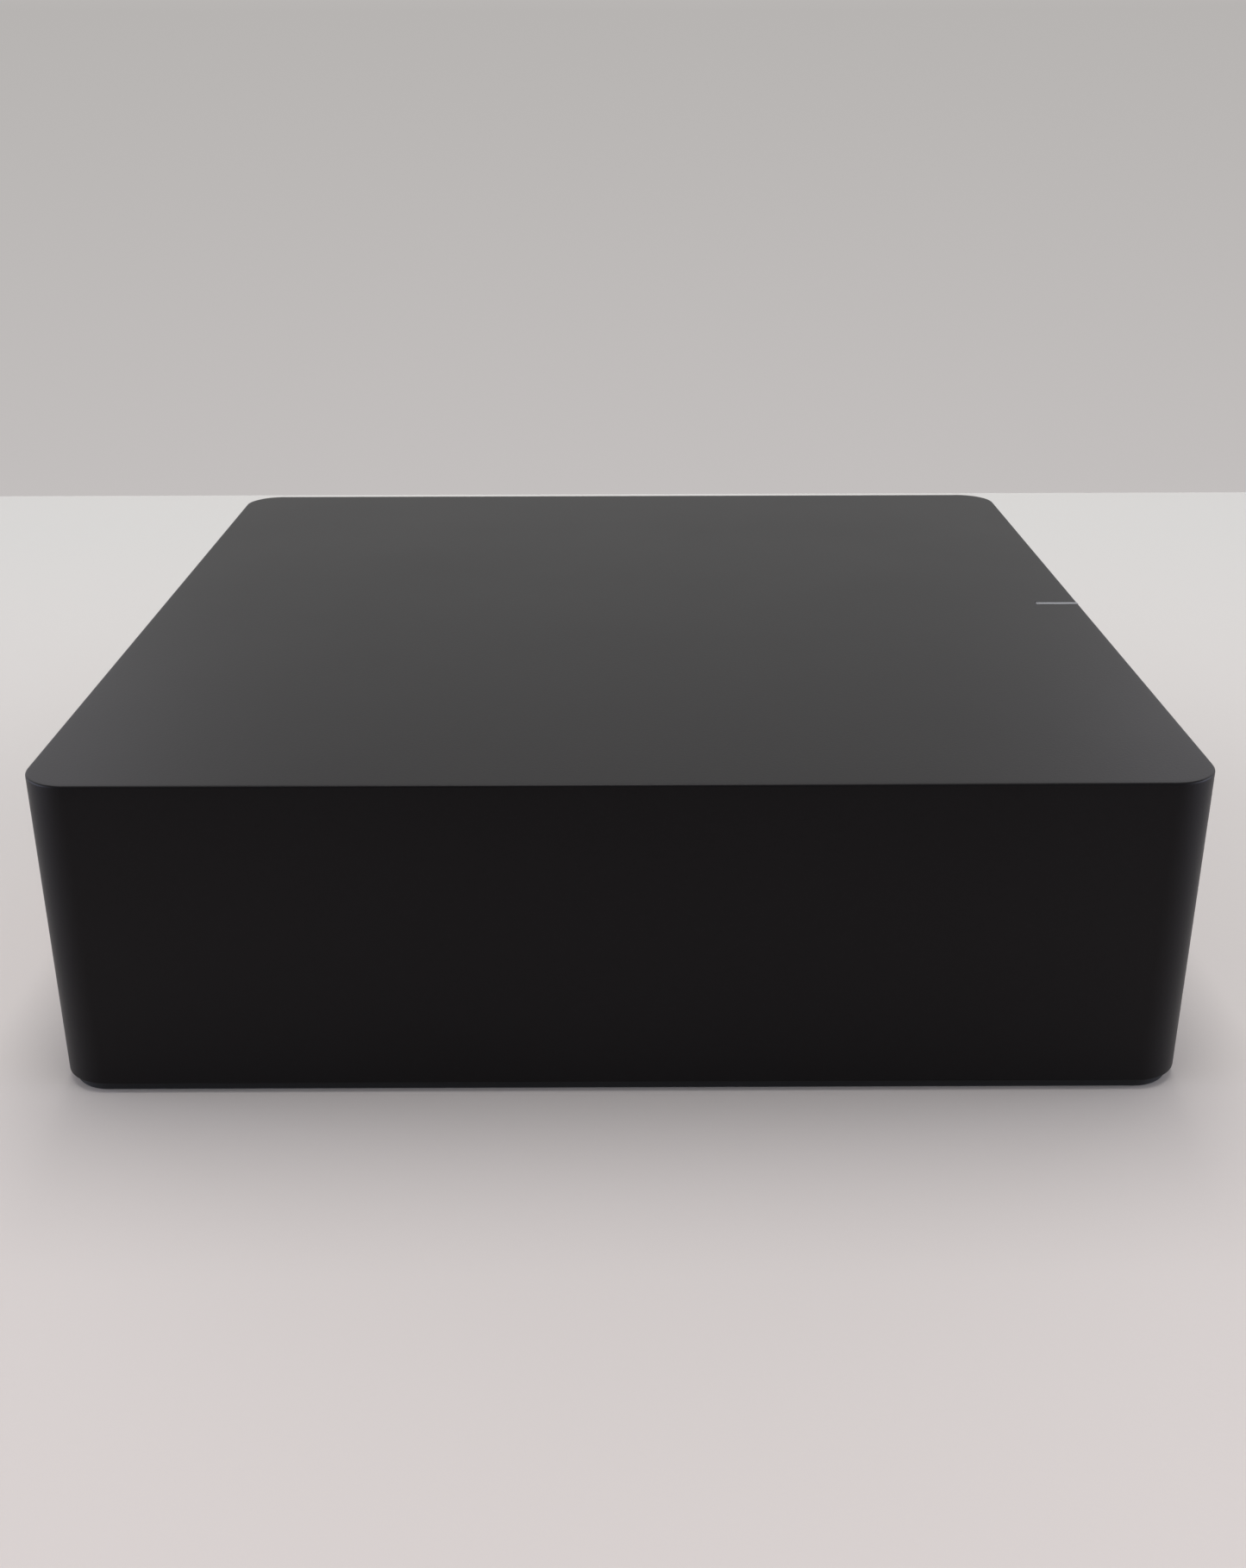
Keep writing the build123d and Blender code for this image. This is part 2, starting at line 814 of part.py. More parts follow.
def trigger_jack():
    """The plastic body behind the trigger jack's bushing."""
    sides = (trigger_x - trigger_half_width, trigger_x + trigger_half_width)
    body = block(*sides, panel_back - trigger_depth, panel_back, board_top, jack_level + jack_height)
    body -= rod(trigger_x, jack_level, bushing_back, panel_back + 1, bushing_radius)
    return body - rod(trigger_x, jack_level, bushing_back - tip_hole_depth, bushing_back, tip_hole_radius)


def trigger_bushing():
    """The metal sleeve that a small round plug goes into."""
    sleeve = rod(trigger_x, jack_level, bushing_back, bushing_front, bushing_radius)
    return sleeve - rod(trigger_x, jack_level, bushing_back - 1, bushing_front + 1, bushing_bore)


# ---------------------------------------------------------------------------- pairing button

stem_tip = panel_back - stem_end
switch_face = stem_tip - plunger_out


def join_button():
    """The button's cap, with a collar that keeps it behind the panel and a stem to the switch."""
    tip = panel_face + button_proud
    collar_front = panel_back - collar_gap
    collar_back = collar_front - collar_thickness
    cap = rod(button_x, jack_level, collar_back, tip, button_radius)
    cap = fillet(cap.edges().filter_by(GeomType.CIRCLE).sort_by(Axis.Y)[-1], button_dish)
    dish_radius = button_radius * button_radius / (2 * button_dish)
    cap -= Pos(button_x, tip + dish_radius - button_dish / 2, jack_level) * Sphere(dish_radius)
    collar = rod(button_x, jack_level, collar_back, collar_front, button_radius + collar_reach)
    stem = rod(button_x, jack_level, stem_tip, collar_front, stem_radius)
    return cap + collar + stem


def button_switch():
    """The fixed body of the switch, standing on the main board."""
    sides = (button_x - switch_half_width, button_x + switch_half_width)
    body = block(*sides, switch_face - switch_depth, switch_face, board_top, jack_level + switch_rise)
    pocket_end = switch_face - (plunger_length - plunger_out + button_travel + plunger_spare)
    return body - rod(button_x, jack_level, pocket_end, switch_face + 1, plunger_radius + plunger_gap)


def switch_plunger():
    """The switch's plunger, which moves with the button."""
    return rod(button_x, jack_level, stem_tip - plunger_length, stem_tip, plunger_radius)


# ---------------------------------------------------------------------------- power supply


def mains_fuse():
    return can_capacitor(fuse_x, panel_back - fuse_setback, fuse_radius, fuse_height)


def filter_capacitor():
    """The box-shaped capacitor across the mains."""
    rear = panel_back - inlet_depth
    return block(*filter_x, rear - filter_depth, rear, board_top, board_top + filter_height)


def line_choke():
    """A ring choke lying on the power board."""
    return Pos(choke_x, panel_back - choke_setback, board_top + choke_wire) * Torus(choke_ring, choke_wire)


def bridge_rectifier():
    return block(*rectifier_x, *rectifier_y, board_top, board_top + rectifier_height)


def main_capacitor():
    return can_capacitor(*capacitor_spot, capacitor_radius, capacitor_height)


def output_capacitors():
    return [can_capacitor(x, y, output_radius, output_height) for x, y in output_spots]


def transistor_heat_sink():
    """An upright aluminium plate at the board's edge."""
    x = board_right - sink_margin
    half = sink_length / 2
    return block(x - sink_thickness, x, -half, half, board_top, board_top + sink_height)


def switching_transistor():
    """The power transistor against its heat sink."""
    x = board_right - sink_margin - sink_thickness
    half = transistor_width / 2
    low = board_top + transistor_rise
    return block(x - transistor_thickness, x, -half, half, low, low + transistor_height)


def transformer_core():
    """The ferrite core: a closed frame round the winding, with the middle limb through it."""
    x0, x1 = transformer_x - core_width / 2, transformer_x + core_width / 2
    y0, y1 = transformer_y - core_depth / 2, transformer_y + core_depth / 2
    core = block(x0, x1, y0, y1, board_top, board_top + core_height)
    near, far = core_yoke / 2, core_depth / 2 - core_yoke / 2
    for side in (-1, 1):
        window = sorted((transformer_y + side * near, transformer_y + side * far))
        core -= block(x0 - 1, x1 + 1, *window, board_top + core_yoke, board_top + core_height - core_yoke)
    return core


def transformer_winding():
    """The winding round the core's middle limb, as one solid."""
    x, y = transformer_x, transformer_y
    low = board_top + core_yoke
    high = board_top + core_height - core_yoke - winding_gap
    reach_y = core_depth / 2 - core_yoke / 2 - winding_gap
    reach_x = core_width / 2 + winding_gap + winding_bulge
    coil = block(x - reach_x, x + reach_x, y - reach_y, y + reach_y, low, high)
    limb = core_yoke / 2 + winding_gap
    half = core_width / 2 + winding_gap
    return coil - block(x - half, x + half, y - limb, y + limb, 0, height)


def harness_plugs():
    """The plug at each end of the power harness."""
    half = harness_plug_width / 2
    reach = (wire_count + 1) * wire_pitch / 2
    front, rear = harness_y - reach, harness_y + reach
    top = board_top + harness_plug_height
    return [block(x - half, x + half, front, rear, board_top, top) for x in harness_x]


def power_harness():
    """Wires that arch from the power board's plug over the sheet to the main board's plug."""
    low = board_top + harness_plug_height
    high = low + wire_rise
    wires = []
    for i in range(wire_count):
        y = harness_y + (i - (wire_count - 1) / 2) * wire_pitch
        start, end = harness_x
        points = [(start, y, low), (start, y, high), (end, y, high), (end, y, low)]
        wires.append(wire(points, wire_radius, wire_bend))
    return wires


# ---------------------------------------------------------------------------- antennas


def left_antenna():
    front, rear = left_antenna_y - antenna_length / 2, left_antenna_y + antenna_length / 2
    low, high = antenna_level - antenna_height / 2, antenna_level + antenna_height / 2
    return block(-inner_x, -inner_x + antenna_thickness, front, rear, low, high)


def front_antenna():
    left, right = front_antenna_x - antenna_length / 2, front_antenna_x + antenna_length / 2
    low, high = antenna_level - antenna_height / 2, antenna_level + antenna_height / 2
    return block(left, right, -inner_y, -inner_y + antenna_thickness, low, high)


def antenna_leads():
    """A thin coaxial lead from each antenna down to its round plug on the main board."""
    plug_top = board_top + plug_height
    x = -inner_x + antenna_thickness
    y = -inner_y + antenna_thickness
    left_end = (x + lead_reach, left_antenna_y)
    front_end = (front_antenna_x, y + lead_reach)
    left_path = [(x, left_antenna_y, antenna_level), (*left_end, antenna_level), (*left_end, plug_top)]
    front_path = [(front_antenna_x, y, antenna_level), (*front_end, antenna_level), (*front_end, plug_top)]
    left = wire(left_path, lead_radius, lead_bend)
    front = wire(front_path, lead_radius, lead_bend)
    return [
        left + post(*left_end, board_top, plug_top, plug_radius),
        front + post(*front_end, board_top, plug_top, plug_radius),
    ]


# ---------------------------------------------------------------------------- write the nodes


def main():
    os.makedirs("parts", exist_ok=True)

    save("top_shell", top_shell())
    save("rear_panel", rear_panel())
    save("base_cover", base_cover())
    save("foot_pad", foot_pad())
    save("light_pipe", light_pipe())
    save("status_led", status_led())
    save("case_screws", *case_screws())
    save("board_screws", *board_screws())
    save("panel_screws", *panel_screws())

    save("main_board", main_board())
    save("power_board", power_board())
    save("insulating_sheet", insulating_sheet())
    save("heat_spreader", heat_spreader())
    save("processor_shield", processor_shield())
    save("processor_chip", processor_chip())
    save("thermal_pad", thermal_pad())
    save("board_chips", *board_chips())
    save("signal_capacitors", *signal_capacitors())

    save("power_inlet", power_inlet())
    save("inlet_pins", *inlet_pins())
    for number, x in enumerate(network_x, start=1):
        save(f"network_shield_{number}", network_shield(x))
        save(f"network_insert_{number}", network_insert(x))
    save("network_contacts", *network_contacts())

    upper = jack_level + jack_pitch
    save("digital_out_housing", jack_housing(digital_x, [jack_level], False))
    save("line_out_housing", jack_housing(line_out_x, [jack_level, upper], True))
    save("line_in_housing", jack_housing(line_in_x, [jack_level, upper], True))
    for name, (x, z) in jack_spots().items():
        save(f"{name}_barrel", jack_barrel(x, z))
        save(f"{name}_insulator", jack_insulator(x, z))
    save("phono_contacts", *phono_contacts())
    save("trigger_jack", trigger_jack())
    save("trigger_bushing", trigger_bushing())

    save("join_button", join_button())
    save("button_switch", button_switch())
    save("switch_plunger", switch_plunger())

    save("mains_fuse", mains_fuse())
    save("filter_capacitor", filter_capacitor())
    save("line_choke", line_choke())
    save("bridge_rectifier", bridge_rectifier())
    save("main_capacitor", main_capacitor())
    save("output_capacitors", *output_capacitors())
    save("transistor_heat_sink", transistor_heat_sink())
    save("switching_transistor", switching_transistor())
    save("transformer_core", transformer_core())
    save("transformer_winding", transformer_winding())
    save("harness_plugs", *harness_plugs())
    save("power_harness", *power_harness())

    save("left_antenna", left_antenna())
    save("front_antenna", front_antenna())
    save("antenna_leads", *antenna_leads())


if __name__ == "__main__":
    main()
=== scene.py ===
"""A low square streaming media player in matte black plastic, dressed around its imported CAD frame.

Each sub-assembly is a class that holds its sizes in millimetres, builds its meshes and dresses them. Lengths in
the classes are millimetres; the small makers turn them into metres. +Z is up, the front is at -Y and the
connectors are at +Y.
"""

from __future__ import annotations

import logging
import math
from dataclasses import dataclass, field
from enum import Enum
from typing import Sequence

import bmesh
import bpy
import numpy as np
from mathutils import Matrix, Vector


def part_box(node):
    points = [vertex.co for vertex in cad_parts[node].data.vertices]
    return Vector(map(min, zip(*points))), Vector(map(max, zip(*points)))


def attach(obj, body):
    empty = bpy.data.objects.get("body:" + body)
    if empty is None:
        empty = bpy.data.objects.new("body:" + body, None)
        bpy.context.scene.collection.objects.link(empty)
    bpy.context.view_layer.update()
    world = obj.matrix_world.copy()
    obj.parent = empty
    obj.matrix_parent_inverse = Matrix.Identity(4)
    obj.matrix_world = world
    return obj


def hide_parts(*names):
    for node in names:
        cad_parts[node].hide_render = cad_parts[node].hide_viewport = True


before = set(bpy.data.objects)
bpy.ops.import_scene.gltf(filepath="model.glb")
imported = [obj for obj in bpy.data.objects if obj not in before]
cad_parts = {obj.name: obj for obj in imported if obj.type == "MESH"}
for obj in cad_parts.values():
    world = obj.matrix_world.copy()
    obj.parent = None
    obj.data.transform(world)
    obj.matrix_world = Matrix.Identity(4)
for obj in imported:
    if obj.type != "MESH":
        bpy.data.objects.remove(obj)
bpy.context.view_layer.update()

log = logging.getLogger("player")
logging.basicConfig(level=logging.INFO, format="%(name)s: %(message)s")

Piece = bpy.types.Object
Tree = bpy.types.NodeTree
Socket = bpy.types.NodeSocket
Point = tuple[float, float, float]
Pair = tuple[float, float]
Array = np.ndarray

MM = 0.001
HOUSING = "housing"
BUTTON = "button"
# Sockets of a Mix node that mixes colours: its two colours, and its result.
MIX_FIRST, MIX_SECOND, MIX_RESULT = 6, 7, 2
# Most of a noise texture's values lie between these.
NOISE_RANGE = (0.3, 0.7)
# A turned tube's outline starts and ends inside its bore, this far from its back.
TUBE_START, TUBE_END = 1.0, 1.5


# ---------- colour and nodes


def linear(hex_colour: str) -> tuple[float, float, float, float]:
    """Turn an sRGB hex colour into linear light.

    Args:
        hex_colour: six hex digits, such as "1a1a1c".

    Returns:
        Red, green, blue and an alpha of one.
    """
    parts = [int(hex_colour[i : i + 2], 16) / 255 for i in (0, 2, 4)]
    curved = [c / 12.92 if c <= 0.04045 else ((c + 0.055) / 1.055) ** 2.4 for c in parts]
    return (curved[0], curved[1], curved[2], 1.0)


def add_node(
    tree: Tree,
    kind: str,
    settings: dict[str, object] | None = None,
    links: dict[str | int, Socket] | None = None,
) -> bpy.types.Node:
    """Add one node, set what it holds and link what feeds it.

    Args:
        tree: the node tree.
        kind: the node's type name, after ShaderNode.
        settings: a property of the node, or else an input socket, by name, and its value.
        links: an input socket, by name or number, and the output that feeds it.

    Returns:
        The new node.
    """
    node = tree.nodes.new(f"ShaderNode{kind}")
    for name, value in (settings or {}).items():
        if name in node.inputs:
            node.inputs[name].default_value = value
        else:
            setattr(node, name, value)
    for name, source in (links or {}).items():
        tree.links.new(source, node.inputs[name])
    return node


def ranged(tree: Tree, source: Socket, low: float, high: float, first: float, last: float) -> Socket:
    """Carry a value from one range to another, held at both ends.

    Args:
        tree: the node tree.
        source: the value.
        low: where its range starts.
        high: where its range ends.
        first: the result at the start.
        last: the result at the end.

    Returns:
        The result's socket.
    """
    settings = {"From Min": low, "From Max": high, "To Min": first, "To Max": last}
    return add_node(tree, "MapRange", settings, {"Value": source}).outputs["Result"]


def product(tree: Tree, first: Socket, second: Socket) -> Socket:
    """Multiply one value by another.

    Args:
        tree: the node tree.
        first: one value.
        second: the other.

    Returns:
        The result's socket.
    """
    return add_node(tree, "Math", {"operation": "MULTIPLY"}, {0: first, 1: second}).outputs["Value"]


class Coat(Enum):
    """How much clear gloss lies over a finish."""

    NONE = 0.0
    THIN = 0.3
    FULL = 1.0


class Axis(Enum):
    """Which way a turned shape's axis runs."""

    Y = "Y"
    Z = "Z"


class Boolean(Enum):
    """What is done with a shape that meets a piece."""

    CUT = "DIFFERENCE"
    ADD = "UNION"


@dataclass(frozen=True)
class Finish:
    """One real material and how its surface was made, as a procedural shader.

    The colour drifts between two near tones over patches of `patch_mm`, the roughness drifts with it, and a fine
    grain of `grain_mm` is raised by `relief_mm`. With `sweep_m` the two tones run from one X to another
    instead.
    """

    name: str
    colour: str
    drift: str
    roughness: float
    roughness_drift: float = 0.05
    metallic: float = 0.0
    specular: float = 0.5
    specular_tint: str = "ffffff"
    grain_mm: float = 0.3
    relief_mm: float = 0.004
    patch_mm: float = 12.0
    stretch: Point = (1.0, 1.0, 1.0)
    coat: Coat = Coat.NONE
    transmission: float = 0.0
    subsurface_mm: float = 0.0
    sheen: float = 0.0
    sweep_m: Pair | None = None

    def make(self) -> bpy.types.Material:
        """Build the material, or return the one already built.

        Returns:
            The material.
        """
        if self.name in bpy.data.materials:
            return bpy.data.materials[self.name]
        material = bpy.data.materials.new(self.name)
        material.use_nodes = True
        tree = material.node_tree
        tree.nodes.clear()
        place = add_node(tree, "TexCoord")
        turned = add_node(tree, "Mapping", {"Scale": self.stretch}, {"Vector": place.outputs["Object"]})
        patches, grain = (
            add_node(
                tree,
                "TexNoise",
                {"Scale": 1 / (size * MM), "Detail": detail, "Roughness": harshness},
                {"Vector": turned.outputs["Vector"]},
            ).outputs["Fac"]
            for size, detail, harshness in ((self.patch_mm, 3.0, 0.55), (self.grain_mm, 2.0, 0.6))
        )
        blend = ranged(tree, patches, *NOISE_RANGE, 0.0, 1.0)
        if self.sweep_m:
            axes = add_node(tree, "SeparateXYZ", None, {"Vector": place.outputs["Object"]})
            blend = ranged(tree, axes.outputs["X"], *self.sweep_m, 0.0, 1.0)
        tone = add_node(tree, "Mix", {"data_type": "RGBA"}, {"Factor": blend})
        tone.inputs[MIX_FIRST].default_value = linear(self.colour)
        tone.inputs[MIX_SECOND].default_value = linear(self.drift)
        smooth, rougher = self.roughness - self.roughness_drift, self.roughness + self.roughness_drift
        rough = ranged(tree, patches, *NOISE_RANGE, max(smooth, 0.02), min(rougher, 1.0))
        relief = {"Strength": 1.0, "Distance": self.relief_mm * MM}
        bump = add_node(tree, "Bump", relief, {"Height": grain})
        shader = add_node(
            tree,
            "BsdfPrincipled",
            {
                "Metallic": self.metallic,
                "Specular IOR Level": self.specular,
                "Specular Tint": linear(self.specular_tint),
                "Coat Weight": self.coat.value,
                "Coat Roughness": 0.08,
                "Transmission Weight": self.transmission,
                "Subsurface Weight": 1.0 if self.subsurface_mm else 0.0,
                "Subsurface Radius": (1.0, 1.0, 1.0),
                "Subsurface Scale": self.subsurface_mm * MM,
                "Sheen Weight": self.sheen,
            },
            {"Base Color": tone.outputs[MIX_RESULT], "Roughness": rough, "Normal": bump.outputs["Normal"]},
        )
        add_node(tree, "OutputMaterial", None, {"Surface": shader.outputs["BSDF"]})
        return material

    def dress(self, *pieces: Piece) -> None:
        """Put this finish in every material slot of some pieces.

        Args:
            pieces: CAD nodes or new pieces.
        """
        material = self.make()
        for piece in pieces:
            if not piece.data.materials:
                piece.data.materials.append(material)
            for i in range(len(piece.data.materials)):
                piece.data.materials[i] = material


# ABS moulded in a spark-eroded tool: a very fine, even grain that gives almost nothing back square on and a soft
# grey sheen at a low angle. The grain is drawn at 0.35 mm, about four times its real size, so that it shows.
TEXTURED_ABS = Finish(
    "black_abs_spark_eroded", "0a0a0b", "0c0c0d", 0.42, 0.008, specular=0.17, specular_tint="fff8fb", grain_mm=0.35,
    relief_mm=0.01, patch_mm=25.0,
)
# The same resin from a coarser tool, for the panel and the base: a touch greyer and flatter.
PANEL_ABS = Finish(
    "black_abs_panel", "121213", "171718", 0.5, 0.05, specular=0.35, grain_mm=0.3, relief_mm=0.008
)
# Moulded silicone rubber: dull and soft, with a little dust in its skin.
SILICONE = Finish(
    "black_silicone_rubber", "101011", "171718", 0.78, 0.06, specular=0.3, grain_mm=0.25, relief_mm=0.01,
    sheen=0.1,
)
# Moulded smoked acrylic: dark until it is lit, slightly milky, with light soaking into it.
SMOKED_ACRYLIC = Finish(
    "smoked_acrylic", "6b6c71", "747579", 0.3, 0.03, grain_mm=0.5, relief_mm=0.0005, subsurface_mm=0.5
)
# Moulded nylon in its colours: a close satin that shows faint flow marks.
NYLON_BLACK = Finish("black_nylon_moulded", "101011", "181819", 0.38, 0.06, relief_mm=0.003)
NYLON_WHITE = Finish("white_nylon_moulded", "e4e2dc", "d8d5ce", 0.34, 0.05, grain_mm=0.4, subsurface_mm=0.3)
NYLON_RED = Finish("red_nylon_moulded", "b4141a", "a20f15", 0.32, 0.05, grain_mm=0.4, subsurface_mm=0.2)
NYLON_ORANGE = Finish("orange_nylon_moulded", "e0620e", "cf540a", 0.32, 0.05, grain_mm=0.4, subsurface_mm=0.2)
NYLON_NATURAL = Finish("natural_nylon_moulded", "dcd6c4", "cfc8b4", 0.42, 0.05, grain_mm=0.4, subsurface_mm=0.4)
# Clear polystyrene light windows, frosted behind: pale amber and pale green when unlit.
WINDOW_AMBER = Finish("amber_light_window", "a8853a", "b8924a", 0.22, 0.03, subsurface_mm=0.3)
WINDOW_GREEN = Finish("green_light_window", "6f9a68", "7ba874", 0.22, 0.03, subsurface_mm=0.3)
# The button's cap: the same ABS from a smoother tool.
BUTTON_ABS = Finish("black_abs_button", "19191b", "1f1f21", 0.34, 0.04, relief_mm=0.002)
# Bright nickel over turned brass: a warm white metal with faint turning rings.
NICKEL = Finish(
    "nickel_plate_turned", "c9c5bb", "b8b4a9", 0.17, 0.05, metallic=1.0, grain_mm=0.15, relief_mm=0.0006,
    patch_mm=3.0, stretch=(0.02, 1.0, 0.02),
)
# Gold flashed over spring bronze: a soft yellow metal, a little dull where it is worn.
GOLD = Finish(
    "gold_flash", "d8a84a", "c7953a", 0.22, 0.06, metallic=1.0, relief_mm=0.001, patch_mm=2.0
)
# Tinned steel sheet: a bluish grey metal with soft cloudy patches from the hot tin.
TINNED_STEEL = Finish(
    "tinned_steel_sheet", "b9b9b6", "9c9d9c", 0.27, 0.08, metallic=1.0, grain_mm=0.4, relief_mm=0.001,
    patch_mm=2.5,
)
# Zinc-plated steel screws: bluish, slightly uneven.
ZINC_STEEL = Finish(
    "zinc_plated_steel", "a3a6a9", "8d9195", 0.33, 0.08, metallic=1.0, grain_mm=0.2, relief_mm=0.002,
    patch_mm=1.2,
)
# A black oxide screw: near black, with a dull metallic light along its edges.
BLACK_STEEL = Finish(
    "black_oxide_steel", "2c2c2e", "232325", 0.38, 0.07, metallic=1.0, grain_mm=0.2, relief_mm=0.002,
    patch_mm=1.2,
)
# Rolled aluminium sheet: rolling lines along its length.
ALUMINIUM = Finish(
    "aluminium_mill_sheet", "c4c6c8", "adafb2", 0.33, 0.07, metallic=1.0, grain_mm=0.2, relief_mm=0.001,
    stretch=(0.04, 1.0, 1.0),
)
# Screen-printed solder mask on glass epoxy: green, glossy, copper tracks showing faintly through it.
SOLDER_MASK = Finish(
    "green_solder_mask", "0e4526", "1a6a3f", 0.28, 0.06, grain_mm=1.2, relief_mm=0.02, patch_mm=2.2,
    coat=Coat.THIN, stretch=(1.0, 0.25, 1.0),
)
# Transfer-moulded epoxy: matte, almost black, finely pitted.
EPOXY = Finish("moulded_epoxy", "1a1a1c", "222224", 0.55, 0.05, grain_mm=0.15, patch_mm=3.0)
# Pressed and sintered ferrite: a dark, hard, gritty grey.
FERRITE = Finish("sintered_ferrite", "262628", "303033", 0.6, 0.08, grain_mm=0.3, relief_mm=0.012)
# Shrunk PVC sleeve over a can: dark blue, glossy, faintly rippled.
SLEEVE = Finish(
    "shrunk_pvc_sleeve", "141c33", "1a2440", 0.25, 0.05, grain_mm=1.4, relief_mm=0.01, coat=Coat.THIN
)
# Etched aluminium can end: a flat pale grey metal.
CAN_END = Finish(
    "etched_aluminium_end", "b9bbbd", "a9abae", 0.42, 0.06, metallic=1.0, grain_mm=0.15, relief_mm=0.002,
    patch_mm=1.5,
)
# Compression-moulded phenolic: a dark brown satin.
PHENOLIC = Finish("brown_phenolic", "3a2416", "452c1c", 0.45, 0.06)
# Moulded polyester box, filled with resin: a warm yellow satin.
FILM_BOX = Finish("yellow_polyester_box", "c99a1e", "d4a52a", 0.35, 0.05, grain_mm=0.4)
# Polyester tape wound in layers: amber, glossy, with a line at each lap.
WINDING_TAPE = Finish(
    "polyester_winding_tape", "d1a52a", "bb8f1c", 0.3, 0.06, grain_mm=0.8, relief_mm=0.02,
    stretch=(0.1, 0.1, 3.0), coat=Coat.THIN,
)
# Enamelled copper: a clear amber lacquer over bright wire.
ENAMEL_COPPER = Finish(
    "enamelled_copper", "b06a34", "9a5526", 0.22, 0.05, metallic=1.0, relief_mm=0.001, coat=Coat.FULL
)
# PVC extruded over wire: a soft red satin.
PVC_RED = Finish("red_pvc_insulation", "8e1c1c", "9b2424", 0.4, 0.05, grain_mm=0.4)
# The same, for the antenna leads: a dull dark grey.
PVC_GREY = Finish("grey_lead_jacket", "3a3a3d", "434346", 0.45, 0.05, grain_mm=0.4)
# Filled silicone gap pad: blue-grey, dull, slightly lumpy.
GAP_PAD = Finish("silicone_gap_pad", "8096a8", "8ba1b2", 0.8, 0.05, grain_mm=0.5, relief_mm=0.02)
# Drawn polyester film: clear and milky, with a long slow ripple.
POLYESTER_FILM = Finish(
    "polyester_film", "c9cbc6", "d2d4cf", 0.18, 0.03, transmission=0.6, grain_mm=2.0, relief_mm=0.01
)
# Etched copper under a polyimide cover: a brownish half-metal.
COPPER_FILM = Finish("copper_on_film", "8a5a2c", "7a4d24", 0.35, 0.06, metallic=0.6, grain_mm=0.4)


# ---------- mesh makers


def soften(profile: Sequence[Pair], radius: float, steps: int = 6) -> Array:
    """Round the inner corners of an open line.

    Each corner C becomes the curve (1-s)^2 A + 2 s (1-s) C + s^2 B, where A and B lie on the two legs at `radius`
    from C, or at 0.45 of a leg where that is shorter.

    Args:
        profile: the line's points.
        radius: how far from each corner the curve starts.
        steps: pieces in each curve.

    Returns:
        The rounded line's points.
    """
    line = np.asarray(profile, float)
    legs = np.diff(line, axis=0)
    lengths = np.linalg.norm(legs, axis=1)
    ways = legs / lengths[:, None]
    reach_in = np.minimum(radius, 0.45 * lengths[:-1])[:, None]
    reach_out = np.minimum(radius, 0.45 * lengths[1:])[:, None]
    before = (line[1:-1] - ways[:-1] * reach_in)[:, None]
    after = (line[1:-1] + ways[1:] * reach_out)[:, None]
    corner = line[1:-1][:, None]
    s = np.linspace(0, 1, steps + 1)[None, :, None]
    curves = (1 - s) ** 2 * before + 2 * s * (1 - s) * corner + s**2 * after
    return np.concatenate([line[:1], curves.reshape(-1, 2), line[-1:]])


def plate_rings(
    middle: Pair,
    half: Pair,
    radii: tuple[float, float, float, float],
    profile: Array,
    least: float = 0.3,
    steps: int = 24,
) -> Array:
    """Rings of a rounded plate, one for each (inset, level) of a profile.

    At a corner of sign S and angle t a ring's point is S (half - inset - r) + r (cos t, sin t), where the ring's
    corner radius r is the plate's less the inset, and at least `least`.

    Args:
        middle: the plate's centre in X and Y.
        half: half its width and half its depth.
        radii: its four corner radii, counterclockwise from +X +Y.
        profile: rows of inset and level.
        least: the smallest corner radius.
        steps: pieces in each corner.

    Returns:
        An array of rings by points by three.
    """
    insets, levels = np.asarray(profile, float).T
    signs = np.array([(1, 1), (-1, 1), (-1, -1), (1, -1)], float)
    turns = (np.arange(4)[:, None] + np.linspace(0, 1, steps + 1)[None]) * math.pi / 2
    ways = np.stack([np.cos(turns), np.sin(turns)], -1)[None]
    r = np.maximum(np.asarray(radii)[None] - insets[:, None], least)[..., None, None]
    reach = np.asarray(half)[None, None] - insets[:, None, None]
    flat = (signs[None] * (reach - r[..., 0]))[:, :, None] + r * ways
    flat = flat.reshape(len(insets), -1, 2) + np.asarray(middle)
    high = np.broadcast_to(levels[:, None, None], flat.shape[:2] + (1,))
    return np.concatenate([flat, high], -1)


def turned_rings(profile: Array, centres: Sequence[Pair], along: Axis = Axis.Y, sides: int = 96) -> Array:
    """Rings of a turned shape, one set for each centre.

    For a profile of (a, r) a point is r (cos t, sin t) from the centre, at a along the axis.

    Args:
        profile: rows of distance along the axis and radius.
        centres: where each axis stands, as (X, Z) for an axis along Y or (X, Y) for one along Z.
        along: which way the axis runs.
        sides: points in each ring.

    Returns:
        An array of shapes by rings by points by three.
    """
    places, radii = np.asarray(profile, float).T
    t = np.linspace(0, 2 * math.pi, sides, endpoint=False)
    spots = np.asarray(centres, float)
    u = spots[:, None, None, 0] + radii[None, :, None] * np.cos(t)
    v = spots[:, None, None, 1] + radii[None, :, None] * np.sin(t)
    w = np.broadcast_to(places[None, :, None], u.shape)
    return np.stack([u, w, v] if along is Axis.Y else [u, v, w], -1)


def link(name: str, data: bpy.types.ID) -> Piece:
    """Put a mesh, a light or a camera in the scene as an object at the origin.

    Args:
        name: the object's name.
        data: what it shows.

    Returns:
        The new object.
    """
    piece = bpy.data.objects.new(name, data)
    bpy.context.scene.collection.objects.link(piece)
    return piece


